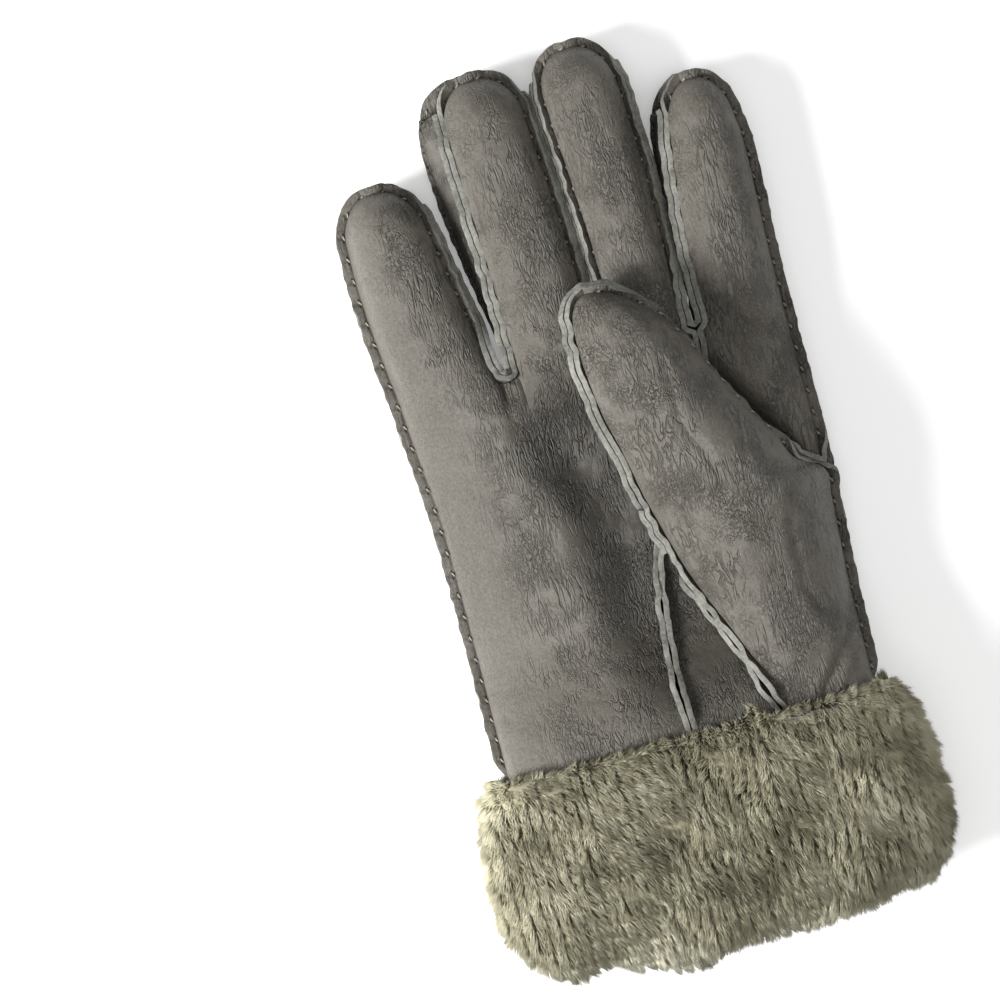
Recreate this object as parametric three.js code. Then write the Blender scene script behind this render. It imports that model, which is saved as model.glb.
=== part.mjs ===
// A shearling leather glove, right hand, lying on its back with the palm up and the thumb folded over it.
// The hide is cut in panels that are sewn with their edges turned outwards, and the long cuff is folded
// back so that its fleece shows. Millimetres, +Y to the fingertips, +X to the thumb side, +Z up.
import * as THREE from 'three';

// Driving dimensions
const HIDE = 1.5; // thickness of the hide
const SEAM_GAP = 0.36; // air between the two hides of a seam
const PAIR = HIDE + SEAM_GAP; // middle to middle of two hides sewn together
const OUTER_FLANGE = 3.4; // seam allowance on the outer sides and the fingertips
const INNER_FLANGE = 2.2; // seam allowance between the fingers
const HIDDEN_FLANGE = 0.4; // seam allowance where the cuff covers it
const EDGE_Z = 10; // height of the outer side seams
const PALM_SEAM_Z = 14.5; // seam of a finger's palm side and its side strip
const BACK_SEAM_Z = 5; // seam of a finger's back and its side strip
const FINGER_TOP = 21.5; // highest line of a finger
const TIP_ROUND = 12.5; // length over which a fingertip closes
const CUFF_Z = 24.4; // middle height of the wrist inside the cuff
const CUFF_MIDDLE_X = 2; // middle of the wrist, sideways
const WRIST_HALF_WIDTH = 56; // middle of the hide, inside the cuff
const WRIST_HALF_HEIGHT = 11.6; // middle of the hide, inside the cuff
const PANEL_END_Y = -104; // lower end of the panels, hidden in the cuff
const CUFF_TOP_Y = -73.5; // upper edge of the folded cuff
const LANE_CELLS = 5; // faces across one finger
const BACK_LANE_CELLS = 4;
const CUFF_SEGMENTS = 60; // faces round the cuff, two for each lock of wool
const LEAF_CELLS = 7; // faces across the thumb
const THUMB_LEAN = 6; // degrees that the thumb's seam allowance stands over the level
const QUIRK_ROW = 7; // row of the leaf where its right edge turns in under the index panel
const THUMB_BASE_ROW = QUIRK_ROW + 1; // row of the leaf where the free thumb's underside begins
const THUMB_PAIR = PAIR + 0.7; // middle to middle of the thumb's two hides, straight down
const THUMB_DEPTH = 6.5; // how far the underside of the thumb hangs under its side seams
const THUMB_CLEARANCE = 2.5; // least distance of the thumb's underside over the palm
const STRIP_END_SHARE = 0.4; // the side strips run out this far into the rounding of the fingertips
const STRIP_BULGE = 0.3; // how far a side strip stands out between its seams
const FULLNESS = 2.4; // higher makes a padded section squarer at its sides
const SHOULDER = 0.6; // lower makes a padded section rise more steeply from its seams
const COVERED = [-74, -66]; // stretch along the hand where the seams come out of the cuff
const WRIST = [-36, -73]; // stretch where the hand narrows in height to the wrist
const KNUCKLES = [62, 18]; // stretch where the fingers' sections blend into the hand's

const HIDE_COLOUR = 0x7d7870;
const EDGE_HIDE_COLOUR = 0x8a857b;
const FLEECE_COLOUR = 0x8f8d76;

// Finger outlines at the stitch lines, from the palm side and from the back
const FINGERS = {
  little: {
    tip: 107, inner: { left: false, right: true }, lean: { left: 8, right: 42 },
    rows: [
      { y: 44, palmLeft: -57, palmRight: -27.6, backLeft: -57, backRight: -27.2 },
      { y: 60, palmLeft: -58.7, palmRight: -30, backLeft: -58.7, backRight: -29.2 },
      { y: 77, palmLeft: -60, palmRight: -33.2, backLeft: -60, backRight: -32.2 },
      { y: 95, palmLeft: -60, palmRight: -36, backLeft: -60, backRight: -34.8 },
      { y: 107, palmLeft: -59.5, palmRight: -38, backLeft: -59.5, backRight: -37 },
    ],
  },
  ring: {
    tip: 132.5, inner: { left: true, right: true }, lean: { left: 76, right: 78 },
    rows: [
      { y: 44, palmLeft: -20.5, palmRight: 4.4, backLeft: -20.8, backRight: 4.7 },
      { y: 60, palmLeft: -20.8, palmRight: 4.5, backLeft: -22, backRight: 4.8 },
      { y: 77, palmLeft: -21, palmRight: 4.2, backLeft: -25, backRight: 4.6 },
      { y: 95, palmLeft: -21.8, palmRight: 3.2, backLeft: -27.4, backRight: 3.7 },
      { y: 112, palmLeft: -22.3, palmRight: 2, backLeft: -28.6, backRight: 2.5 },
      { y: 132.5, palmLeft: -22.5, palmRight: 1, backLeft: -28, backRight: 1.4 },
    ],
  },
  middle: {
    tip: 134.5, inner: { left: true, right: true }, lean: { left: 78, right: 72 },
    rows: [
      { y: 44, palmLeft: 11.5, palmRight: 31.5, backLeft: 11.2, backRight: 31.7 },
      { y: 60, palmLeft: 11.6, palmRight: 31.6, backLeft: 11.3, backRight: 31.8 },
      { y: 77, palmLeft: 11.3, palmRight: 32.2, backLeft: 10.9, backRight: 32.4 },
      { y: 95, palmLeft: 10.4, palmRight: 32.4, backLeft: 9.9, backRight: 32.7 },
      { y: 112, palmLeft: 9.3, palmRight: 31.8, backLeft: 8.8, backRight: 32.2 },
      { y: 134.5, palmLeft: 8.4, palmRight: 30.4, backLeft: 8, backRight: 30.8 },
    ],
  },
  index: {
    tip: 116, inner: { left: true, right: false }, lean: { left: 76, right: 8 },
    rows: [
      { y: 44, palmLeft: 38.5, palmRight: 62.5, backLeft: 38.3, backRight: 62.5 },
      { y: 60, palmLeft: 38.7, palmRight: 62.6, backLeft: 38.3, backRight: 62.6 },
      { y: 77, palmLeft: 39.4, palmRight: 63.3, backLeft: 38.4, backRight: 63.3 },
      { y: 95, palmLeft: 41.6, palmRight: 63.7, backLeft: 39, backRight: 63.7 },
      { y: 105, palmLeft: 43.3, palmRight: 62.8, backLeft: 40.2, backRight: 62.8 },
      { y: 116, palmLeft: 45, palmRight: 62, backLeft: 42.4, backRight: 62 },
    ],
  },
};
const FINGER_NAMES = ['little', 'ring', 'middle', 'index'];

// Stations along the hand that all its columns share
const HAND_STATIONS = [
  -104, -88, -73, -66, -56, -46, -36, -26, -21, -16, -11, -6, -1, 6, 18, 30, 38, 44, 52, 60,
];
const TIP_STATIONS = [0.35, 0.62, 0.82, 0.94, 1]; // shares of a fingertip's rounding

// Where neighbouring fingers part
const CROTCHES = { little: 44, ring: 60, middle: 44 };

// Body of the hand: outer stitch lines, the seam across the palm and the crown of the palm
const BODY = [
  { y: -104, left: -54, right: 58, seam: 2, crown: 13 },
  { y: -73, left: -54, right: 58, seam: 1.8, crown: 13 },
  { y: -58, left: -54, right: 58.8, seam: 1.2, crown: 14 },
  { y: -40, left: -54, right: 60.2, seam: 3, crown: 14.5 },
  { y: -25, left: -54, right: 61.2, seam: 5.2, crown: 13.5 },
  { y: -16, left: -54, right: 61.8, seam: 8.5, crown: 12.5 },
  { y: -6, left: -54, right: 62.2, seam: 15, crown: 11.8 },
  { y: 10, left: -54.3, right: 62.5, seam: 24.6, crown: 11.5 },
  { y: 24, left: -55.5, right: 62.5, seam: 31.4, crown: 11.5 },
  { y: 34, left: -56.4, right: 62.5, seam: 34.6, crown: 11.5 },
  { y: 44, left: -57, right: 62.5, seam: 35, crown: 11.5 },
];

// Thumb leaf from the cuff to the tip: stitch lines at its left and right, and the swell between them
const LEAF = [
  { row: -2, leftX: 31.5, leftY: -104, rightX: 58, rightY: -104, leftZ: 30, rightZ: 24, swell: 5 },
  { row: -1, leftX: 31.2, leftY: -88, rightX: 58, rightY: -88, leftZ: 30, rightZ: 24, swell: 5 },
  { row: 0, leftX: 30.5, leftY: -73, rightX: 58, rightY: -73, leftZ: 30, rightZ: 24, swell: 5 },
  { row: 1, leftX: 28.4, leftY: -66, rightX: 58.3, rightY: -66, leftZ: 30, rightZ: 22, swell: 7 },
  { row: 2, leftX: 25.1, leftY: -56, rightX: 58.9, rightY: -56, leftZ: 29, rightZ: 18, swell: 11.5 },
  { row: 3, leftX: 21.2, leftY: -46, rightX: 59.7, rightY: -46, leftZ: 28, rightZ: 14, swell: 16 },
  { row: 4, leftX: 17, leftY: -36, rightX: 60.4, rightY: -36, leftZ: 28, rightZ: 12, swell: 20 },
  { row: 5, leftX: 13.2, leftY: -26, rightX: 61.1, rightY: -26, leftZ: 28, rightZ: 11, swell: 22.5 },
  { row: 6, leftX: 10.4, leftY: -16.5, rightX: 61.7, rightY: -16, leftZ: 28, rightZ: 11, swell: 24 },
  { row: 7, leftX: 8, leftY: -7.5, rightX: 62, rightY: -8, leftZ: 28, rightZ: 11, swell: 23.5 },
  { row: 8, leftX: 6, leftY: 0, rightX: 52, rightY: -2.4, leftZ: 23, rightZ: 23.4, swell: 18.5 },
  { row: 9, leftX: 3.5, leftY: 12, rightX: 44.5, rightY: 6, leftZ: 28, rightZ: 28, swell: 15 },
  { row: 10, leftX: 0.5, leftY: 24, rightX: 37, rightY: 18, leftZ: 31, rightZ: 31, swell: 12.5 },
  { row: 11, leftX: -1, leftY: 36, rightX: 31, rightY: 30, leftZ: 32, rightZ: 32, swell: 11.5 },
  { row: 12, leftX: -1.5, leftY: 46, rightX: 26, rightY: 40, leftZ: 31.5, rightZ: 31.5, swell: 11 },
  { row: 13, leftX: -0.8, leftY: 54, rightX: 20.4, rightY: 49, leftZ: 31, rightZ: 31, swell: 9.5 },
  { row: 14, leftX: 1.6, leftY: 58.4, rightX: 15.4, rightY: 55.8, leftZ: 30.5, rightZ: 30.5, swell: 6 },
  { row: 15, leftX: 5, leftY: 60.5, rightX: 11, rightY: 59.6, leftZ: 30, rightZ: 30, swell: 1.5 },
];

// Lower rows of the index panel under the thumb: its right edge from the quirk to the tail beside the leaf
const TAIL = [
  { y: -104, rightY: -104, right: 29.2, lift: 0 },
  { y: -88, rightY: -88, right: 28.8, lift: 0 },
  { y: -73, rightY: -73, right: 28.1, lift: 0 },
  { y: -66, rightY: -66, right: 26.2, lift: 0 },
  { y: -56, rightY: -56, right: 23.5, lift: 0 },
  { y: -46, rightY: -46, right: 19.6, lift: 0 },
  { y: -36, rightY: -36, right: 15.4, lift: 0 },
  { y: -26, rightY: -26.5, right: 11.6, lift: 0 },
  { y: -21, rightY: -20.5, right: 20, lift: 0 },
  { y: -16, rightY: -14.5, right: 31, lift: 0 },
  { y: -11, rightY: -8, right: 42, lift: 0 },
  { y: -6, rightY: 0.3, right: 52.5, lift: 0 },
  { y: -1, rightY: -5.2, right: 62.3, lift: 12 },
];

// Trough in which the thumb lies: place along the hand, its left and right sides and its depth
const TROUGH = [
  { y: -84, left: 2, right: 30, depth: 0 },
  { y: -73, left: 3, right: 30, depth: 1.2 },
  { y: -60, left: 3, right: 34, depth: 3.5 },
  { y: -45, left: 0, right: 42, depth: 5.5 },
  { y: -30, left: -1, right: 50, depth: 7.5 },
  { y: -15, left: -2, right: 54, depth: 7.8 },
  { y: -5, left: -3, right: 53, depth: 7.8 },
  { y: 5, left: -6, right: 49, depth: 7.8 },
  { y: 15, left: -10, right: 43, depth: 7.5 },
  { y: 25, left: -12, right: 38, depth: 6.5 },
  { y: 36, left: -10, right: 32, depth: 3.5 },
  { y: 48, left: -8, right: 28, depth: 0 },
];
const TROUGH_SLOPE = 20; // breadth of the slope down to the trough on its left
const TROUGH_BANK = 8; // breadth of the slope up to the index finger on its right

// Section of the folded cuff: place along the hand, distance outside the wrist hide, and how much lock shows
const CUFF_SECTION = [
  { y: -74.5, out: 1.7, lock: 0 },
  { y: CUFF_TOP_Y, out: 4.6, lock: 0.4 },
  { y: -76, out: 8.4, lock: 0.8 },
  { y: -81, out: 11, lock: 1 },
  { y: -88, out: 12.4, lock: 1 },
  { y: -95, out: 13, lock: 1 },
  { y: -102, out: 13.5, lock: 1 },
  { y: -109, out: 13.8, lock: 1 },
  { y: -116, out: 13.9, lock: 1 },
  { y: -123, out: 13.2, lock: 1 },
  { y: -129, out: 11.4, lock: 1 },
  { y: -133.5, out: 8, lock: 0.9 },
  { y: -136, out: 3.8, lock: 0.8 },
  { y: -136, out: 0.2, lock: 0.6 },
  { y: -133, out: -2.6, lock: 0.5 },
  { y: -127, out: -4, lock: 0.5 },
  { y: -118, out: -4.4, lock: 0.4 },
  { y: -109, out: -3.6, lock: 0.2 },
  { y: -106.2, out: -1.6, lock: 0 },
  { y: -106, out: 1.2, lock: 0 },
  { y: -96, out: 1.7, lock: 0 },
  { y: -85, out: 1.7, lock: 0 },
];
const CUFF_PILE = 13; // usual distance of the fleece's surface outside the wrist hide
const PILE_FLATTENING = 0.88; // the pile's height over its width at the sides, as the cuff lies
const LOCK_DEPTH = 1.7; // how far a lock of wool stands out of its neighbours
const LOCK_SLANT = 0.06; // faces that a lock moves sideways for each millimetre down the cuff
const LOCK_SLANT_STEPS = 20; // finer turns between two faces, for the slant

const mix = THREE.MathUtils.lerp;
const radians = THREE.MathUtils.degToRad;

function smooth(from, to, value) {
  const t = THREE.MathUtils.clamp((value - from) / (to - from), 0, 1);
  return t * t * (3 - 2 * t);
}

// Height of a padded section, 1 in its middle and 0 at its seams, where across is -1 and 1
function padded(across, fullness = FULLNESS) {
  return Math.max(0, 1 - Math.abs(across) ** fullness) ** SHOULDER;
}

// A smooth curve through one named column of a table, over its first named column
function curve(rows, over, column) {
  const last = rows.length - 1;
  const slope = (i) => {
    const a = rows[Math.max(i - 1, 0)];
    const b = rows[Math.min(i + 1, last)];
    return (b[column] - a[column]) / (b[over] - a[over]);
  };
  return (value) => {
    let i = 0;
    while (i < last - 1 && value > rows[i + 1][over]) {
      i += 1;
    }
    const step = rows[i + 1][over] - rows[i][over];
    const t = THREE.MathUtils.clamp((value - rows[i][over]) / step, 0, 1);
    const h = t * t * (3 - 2 * t);
    const start = step * slope(i) * t * (1 - t) ** 2;
    const end = step * slope(i + 1) * t * t * (t - 1);
    return mix(rows[i][column], rows[i + 1][column], h) + start + end;
  };
}

const bodyLeft = curve(BODY, 'y', 'left');
const bodyRight = curve(BODY, 'y', 'right');
const bodySeam = curve(BODY, 'y', 'seam');
const bodyCrown = curve(BODY, 'y', 'crown');
const troughLeft = curve(TROUGH, 'y', 'left');
const troughRight = curve(TROUGH, 'y', 'right');
const troughDepth = curve(TROUGH, 'y', 'depth');
const leaf = {};
for (const column of ['leftX', 'leftY', 'leftZ', 'rightX', 'rightY', 'rightZ', 'swell']) {
  leaf[column] = curve(LEAF, 'row', column);
}
const outlines = {};
for (const name of FINGER_NAMES) {
  outlines[name] = {};
  for (const column of ['palmLeft', 'palmRight', 'backLeft', 'backRight']) {
    outlines[name][column] = curve(FINGERS[name].rows, 'y', column);
  }
}

// How far a station has come into the rounding of a fingertip, 0 at its start and 1 at the tip
function tipShare(name, y) {
  return (y - FINGERS[name].tip + TIP_ROUND) / TIP_ROUND;
}

function tipWidth(share) {
  return share > 0 ? Math.sqrt(1 - 0.93 * share * share) : 1;
}

// Upper or lower middle of the wrist hide inside the cuff, side +1 or -1
function wristHeight(x, side) {
  const across = Math.min(Math.abs(x - CUFF_MIDDLE_X) / WRIST_HALF_WIDTH, 1);
  return CUFF_Z + side * (PAIR / 2 + WRIST_HALF_HEIGHT * Math.cbrt(1 - across ** 3));
}

function edgeHeight(y) {
  return mix(EDGE_Z, CUFF_Z, smooth(...WRIST, y));
}

// Height of the palm between the outer side seams, with the trough in which the thumb lies
function palmDome(x, y) {
  const across = (2 * (x - bodyLeft(y))) / (bodyRight(y) - bodyLeft(y)) - 1;
  const open = EDGE_Z + PAIR / 2 + bodyCrown(y) * padded(across, 2.5);
  const slope = smooth(troughLeft(y) - TROUGH_SLOPE, troughLeft(y), x);
  const bank = smooth(troughRight(y) + TROUGH_BANK, troughRight(y), x);
  return mix(open, wristHeight(x, 1), smooth(...WRIST, y)) - troughDepth(y) * slope * bank;
}

function backFloor(x, y) {
  const across = (2 * (x - bodyLeft(y))) / (bodyRight(y) - bodyLeft(y)) - 1;
  const rise = EDGE_Z - PAIR / 2 - HIDE / 2;
  const open = HIDE / 2 + rise * smooth(0.72, 1, Math.abs(across)) ** 1.2;
  return mix(open, wristHeight(x, -1), smooth(...WRIST, y));
}

// Height of one finger's palm side or back at u, from -1 at its left seam to 1 at its right seam
function fingerHeight(name, face, u, y) {
  const finger = FINGERS[name];
  const share = tipShare(name, y);
  const close = smooth(-0.5, 0.9, share);
  const seamZ = (inner) => {
    const side = face === 'palm' ? PALM_SEAM_Z : BACK_SEAM_Z;
    const outer = EDGE_Z + (face === 'palm' ? PAIR / 2 : -PAIR / 2);
    return inner ? mix(side, outer, close) : outer;
  };
  const seam = mix(seamZ(finger.inner.left), seamZ(finger.inner.right), (u + 1) / 2);
  if (face === 'palm') {
    const round = padded(u);
    const closing = share > 0 ? Math.sqrt(1 - 0.985 * share * share) : 1;
    return seam + (FINGER_TOP - seam) * round * closing;
  }
  const rise = mix(smooth(0.5, 1, Math.abs(u)), 1, smooth(0.35, 1, share));
  return mix(HIDE / 2, seam, rise);
}

// Sideways place of a column of one finger; below the fingers the columns share the hand's width
function columnX(name, face, u, y, edges) {
  const top = Math.max(y, 44);
  const left = outlines[name][`${face}Left`](top);
  const right = outlines[name][`${face}Right`](top);
  const x = mix(left, right, (u * tipWidth(tipShare(name, top)) + 1) / 2);
  if (y >= 44) {
    return x;
  }
  const share = (x - edges.left(44)) / (edges.right(44) - edges.left(44));
  return mix(edges.left(y), edges.right(y), share);
}

// An open sheet of faces, whose points are shared by name
class Sheet {
  constructor() {
    this.points = [];
    this.named = new Map();
    this.faces = [];
  }

  point(name, place) {
    if (!this.named.has(name)) {
      this.named.set(name, this.add(place()));
    }
    return this.named.get(name);
  }

  add(point) {
    this.points.push(point);
    return this.points.length - 1;
  }

  // Faces between neighbouring lists of point numbers, from left to right and from bottom to top
  weave(rows) {
    for (let j = 0; j + 1 < rows.length; j += 1) {
      for (let i = 0; i + 1 < rows[j].length; i += 1) {
        this.faces.push([rows[j][i], rows[j][i + 1], rows[j + 1][i + 1], rows[j + 1][i]]);
      }
    }
  }

  // The seam allowance along an edge path that keeps the sheet on its right, turned outwards
  flange(path) {
    const across = (from, to) => {
      const [a, b] = [this.points[path[from].id], this.points[path[to].id]];
      return new THREE.Vector3(a.y - b.y, b.x - a.x, 0).normalize();
    };
    path.forEach((stop, k) => {
      const behind = across(Math.max(k - 1, 0), Math.max(k, 1));
      const ahead = across(Math.min(k, path.length - 2), Math.min(k + 1, path.length - 1));
      const outward = behind.clone().add(ahead).normalize();
      const reach = 1 / Math.max(0.62, outward.dot(ahead));
      const lean = radians(stop.lean);
      stop.root = this.points[stop.id];
      stop.outward = outward;
      stop.rise ??= outward.clone().multiplyScalar(reach * Math.cos(lean)).setZ(Math.sin(lean));
      stop.beside ??= outward.clone().multiplyScalar(reach * Math.sin(lean)).setZ(-Math.cos(lean));
      stop.edge = stop.root.clone().addScaledVector(stop.rise, stop.length);
      stop.edgeId = this.add(stop.edge);
    });
    for (let k = 0; k + 1 < path.length; k += 1) {
      this.faces.push([path[k].id, path[k + 1].id, path[k + 1].edgeId, path[k].edgeId]);
    }
  }

  // The closed solid of this sheet, half the wall on each side of it
  solid(wall) {
    const sums = this.points.map(() => ({ normals: [], normal: new THREE.Vector3() }));
    for (const face of this.faces) {
      const [a, b, c, d] = face.map((id) => this.points[id]);
      const normal = c.clone().sub(a).cross(d.clone().sub(b)).normalize();
      for (const id of face) {
        sums[id].normals.push(normal);
        sums[id].normal.add(normal);
      }
    }
    const positions = [];
    for (const side of [1, -1]) {
      this.points.forEach((point, id) => {
        const normal = sums[id].normal.normalize();
        const facing = sums[id].normals.reduce((sum, each) => sum + each.dot(normal), 0);
        const miter = 1 / Math.max(0.72, facing / sums[id].normals.length);
        const moved = point.clone().addScaledVector(normal, (side * wall * miter) / 2);
        positions.push(moved.x, moved.y, Math.max(moved.z, 0));
      });
    }
    const under = this.points.length;
    const triangles = [];
    const edges = new Map();
    for (const [a, b, c, d] of this.faces) {
      triangles.push(a, b, c, a, c, d);
      triangles.push(a + under, c + under, b + under, a + under, d + under, c + under);
      for (const [from, to] of [[a, b], [b, c], [c, d], [d, a]]) {
        if (!edges.delete(`${to}_${from}`)) {
          edges.set(`${from}_${to}`, [from, to]);
        }
      }
    }
    for (const [from, to] of edges.values()) {
      triangles.push(from, from + under, to + under, from, to + under, to);
    }
    return solidGeometry(positions, triangles);
  }
}

function solidGeometry(positions, triangles) {
  const geometry = new THREE.BufferGeometry();
  geometry.setAttribute('position', new THREE.Float32BufferAttribute(positions, 3));
  geometry.setIndex(triangles);
  geometry.computeVertexNormals();
  return geometry;
}

// Stations of one finger above those of the hand
function fingerStations(name) {
  const start = FINGERS[name].tip - TIP_ROUND;
  const count = Math.round((start - 60) / 11);
  const stations = [];
  for (let k = 1; k <= count; k += 1) {
    stations.push(mix(60, start, k / count));
  }
  for (const share of TIP_STATIONS) {
    stations.push(start + TIP_ROUND * share);
  }
  return stations;
}

// Seam allowance of the hand's own panels at one stop of an edge path
function handFlange(name, side, face, y) {
  const finger = FINGERS[name];
  const share = tipShare(name, y);
  const close = smooth(0.25, 0.85, share);
  const cover = smooth(...COVERED, y);
  if (side !== 'tip' && !finger.inner[side]) {
    return { lean: 8, length: mix(HIDDEN_FLANGE, OUTER_FLANGE, cover) };
  }
  const own = face === 'palm' ? finger.lean[side === 'tip' ? 'left' : side] : -16;
  const wide = name === 'ring' && side === 'left' ? 1.3 : 1;
  const length = face === 'palm' ? INNER_FLANGE * wide : INNER_FLANGE * 0.65;
  const start = face === 'palm' ? 80 : -16;
  const along = mix(start, own, smooth(0, 22, y - 48));
  return { lean: mix(along, 8, side === 'tip' ? 1 : close), length: mix(length, OUTER_FLANGE, close) };
}

// A panel of one or more fingers: their columns, the webs between them and its edge path
function handPanel({ names, face, cells, edges, height, edgeFlange }) {
  const sheet = new Sheet();
  const path = [];
  const place = (name, cell, y) => () => {
    const u = (2 * cell) / cells - 1;
    const x = columnX(name, face, u, y, edges);
    const hand = height(x, y);
    const finger = fingerHeight(name, face, u, y);
    return new THREE.Vector3(x, y, mix(finger, hand, smooth(...KNUCKLES, y)));
  };
  const pointOf = (name, cell, y) => sheet.point(`${name}_${cell}_${y}`, place(name, cell, y));
  const webOf = (name, next, y) => sheet.point(`web_${name}_${y}`, () => {
    const left = sheet.points[pointOf(name, cells, y)];
    const right = sheet.points[pointOf(next, 0, y)];
    const middle = left.clone().lerp(right, 0.5);
    return middle.setZ(mix(middle.z, height(middle.x, y), 0.2));
  });
  const stop = (id, name, side, y) => path.push({ id, name, side, y, ...edgeFlange(name, side, y) });
  names.forEach((name, n) => {
    const stations = HAND_STATIONS.concat(fingerStations(name));
    const rows = stations.map((y) => {
      const row = [];
      for (let cell = 0; cell <= cells; cell += 1) {
        row.push(pointOf(name, cell, y));
      }
      return row;
    });
    sheet.weave(rows);
    const from = n === 0 ? PANEL_END_Y : CROTCHES[names[n - 1]];
    stations.filter((y) => y >= from).forEach((y) => stop(pointOf(name, 0, y), name, 'left', y));
    const tip = FINGERS[name].tip;
    for (let cell = 1; cell < cells; cell += 1) {
      stop(pointOf(name, cell, tip), name, 'tip', tip);
    }
    const next = names[n + 1];
    const until = next ? CROTCHES[name] : PANEL_END_Y;
    const down = stations.filter((y) => y >= until).reverse();
    down.forEach((y) => stop(pointOf(name, cells, y), name, 'right', y));
    if (next) {
      sheet.weave(HAND_STATIONS.filter((y) => y <= until).map((y) => (
        [pointOf(name, cells, y), webOf(name, next, y), pointOf(next, 0, y)])));
      stop(webOf(name, next, until), name, 'right', until);
    }
  });
  sheet.flange(path);
  return { sheet, path };
}

// Half the width of the slit between the two palm panels, from the seam up to the parting of the fingers
function seamHalf(y) {
  return mix(PAIR / 2, 3.5, smooth(36, 44, y));
}

function seamFlange(y) {
  const cover = smooth(...COVERED, y);
  const thumb = smooth(-34, -20, y) * smooth(40, 28, y);
  return { lean: 90, length: mix(HIDDEN_FLANGE, mix(INNER_FLANGE, 1, thumb), cover) };
}

function makePalmPanel() {
  return handPanel({
    names: ['little', 'ring', 'middle'], face: 'palm', cells: LANE_CELLS, height: palmDome,
    edges: { left: bodyLeft, right: (y) => bodySeam(y) - seamHalf(y) },
    edgeFlange: (name, side, y) => (
      name === 'middle' && side === 'right' && y < 44 ? seamFlange(y) : handFlange(name, side, 'palm', y)),
  });
}

function makeBackPanel() {
  return handPanel({
    names: FINGER_NAMES, face: 'back', cells: BACK_LANE_CELLS, height: backFloor,
    edges: { left: bodyLeft, right: bodyRight },
    edgeFlange: (name, side, y) => handFlange(name, side, 'back', y),
  });
}

// The index panel: its finger, the strip under the thumb and the narrow tail down to the cuff
function makeIndexPanel() {
  const sheet = new Sheet();
  const path = [];
  const left = (y) => bodySeam(y) + seamHalf(y);
  const rows = [];
  const lower = TAIL.map((row) => row.y);
  const upper = HAND_STATIONS.filter((y) => y > 0).concat(fingerStations('index'));
  const cells = LANE_CELLS + 1;
  for (const y of lower.concat(upper)) {
    const tail = TAIL.find((row) => row.y === y);
    const row = [];
    for (let cell = 0; cell <= cells; cell += 1) {
      const share = cell / cells;
      let x = columnX('index', 'palm', 2 * share - 1, y, { left, right: bodyRight });
      let placeY = y;
      if (tail) {
        x = mix(left(y), tail.right, share);
        placeY = mix(y, tail.rightY, share ** 4) + tail.lift * share ** 2 * (1 - share ** 4);
      }
      const hand = palmDome(x, placeY);
      const finger = fingerHeight('index', 'palm', 2 * share - 1, y);
      row.push(sheet.add(new THREE.Vector3(x, placeY, mix(finger, hand, smooth(...KNUCKLES, y)))));
    }
    rows.push(row);
  }
  sheet.weave(rows);
  const stations = lower.concat(upper);
  stations.forEach((y, j) => {
    const flange = y < 44 ? seamFlange(y) : handFlange('index', 'left', 'palm', y);
    path.push({ id: rows[j][0], name: 'index', side: 'left', y, ...flange });
  });
  for (let cell = 1; cell < cells; cell += 1) {
    const flange = handFlange('index', 'tip', 'palm', FINGERS.index.tip);
    path.push({ id: rows.at(-1)[cell], name: 'index', side: 'tip', y: FINGERS.index.tip, ...flange });
  }
  [...stations].reverse().forEach((y, k) => {
    let flange = handFlange('index', 'right', 'palm', y);
    if (y < 0) {
      const cover = smooth(...COVERED, y);
      const hidden = y > -27 && y < -7;
      flange = { lean: 118, length: mix(HIDDEN_FLANGE, INNER_FLANGE, cover) };
      if (hidden) {
        flange = { lean: y < -22 ? 60 : 0, length: 0.6 };
      } else if (y > -7) {
        flange = { lean: 82, length: INNER_FLANGE };
      }
    }
    path.push({ id: rows.at(-1 - k).at(-1), name: 'index', side: 'right', y, ...flange });
  });
  sheet.flange(path);
  return { sheet, path };
}

// One point of the thumb leaf at a row and across it, 0 at its left seam and 1 at its right seam
function leafPoint(row, share) {
  const x = mix(leaf.leftX(row), leaf.rightX(row), share);
  const y = mix(leaf.leftY(row), leaf.rightY(row), share);
  const leftY = leaf.leftY(row);
  const lying = palmDome(leaf.leftX(row), leftY) + mix(0.95, 2.2, smooth(4, 5, row));
  const leftZ = mix(lying, leaf.leftZ(row), smooth(7, 8, row));
  const rightZ = row <= QUIRK_ROW ? edgeHeight(leaf.rightY(row)) + PAIR / 2 : leaf.rightZ(row);
  const round = padded(2 * share - 1);
  const own = mix(leftZ, rightZ, share) + leaf.swell(row) * round;
  const wrist = smooth(-50, -73, y) * (1 - share ** 8);
  return new THREE.Vector3(x, y, mix(own, wristHeight(x, 1), wrist));
}

function leafFlange(side, row) {
  const cover = smooth(...COVERED, leaf.leftY(row));
  const thumb = { lean: THUMB_LEAN, length: OUTER_FLANGE };
  if (row > QUIRK_ROW + 1 || side === 'tip') {
    return thumb;
  }
  if (side === 'left') {
    const lean = mix(62, THUMB_LEAN, smooth(5.5, 8, row));
    return { lean, length: mix(HIDDEN_FLANGE, INNER_FLANGE, cover) };
  }
  if (row >= QUIRK_ROW) {
    return row > QUIRK_ROW ? { lean: 14, length: INNER_FLANGE } : { lean: 80, length: INNER_FLANGE };
  }
  return { lean: 8, length: mix(HIDDEN_FLANGE, OUTER_FLANGE, cover) };
}

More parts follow.
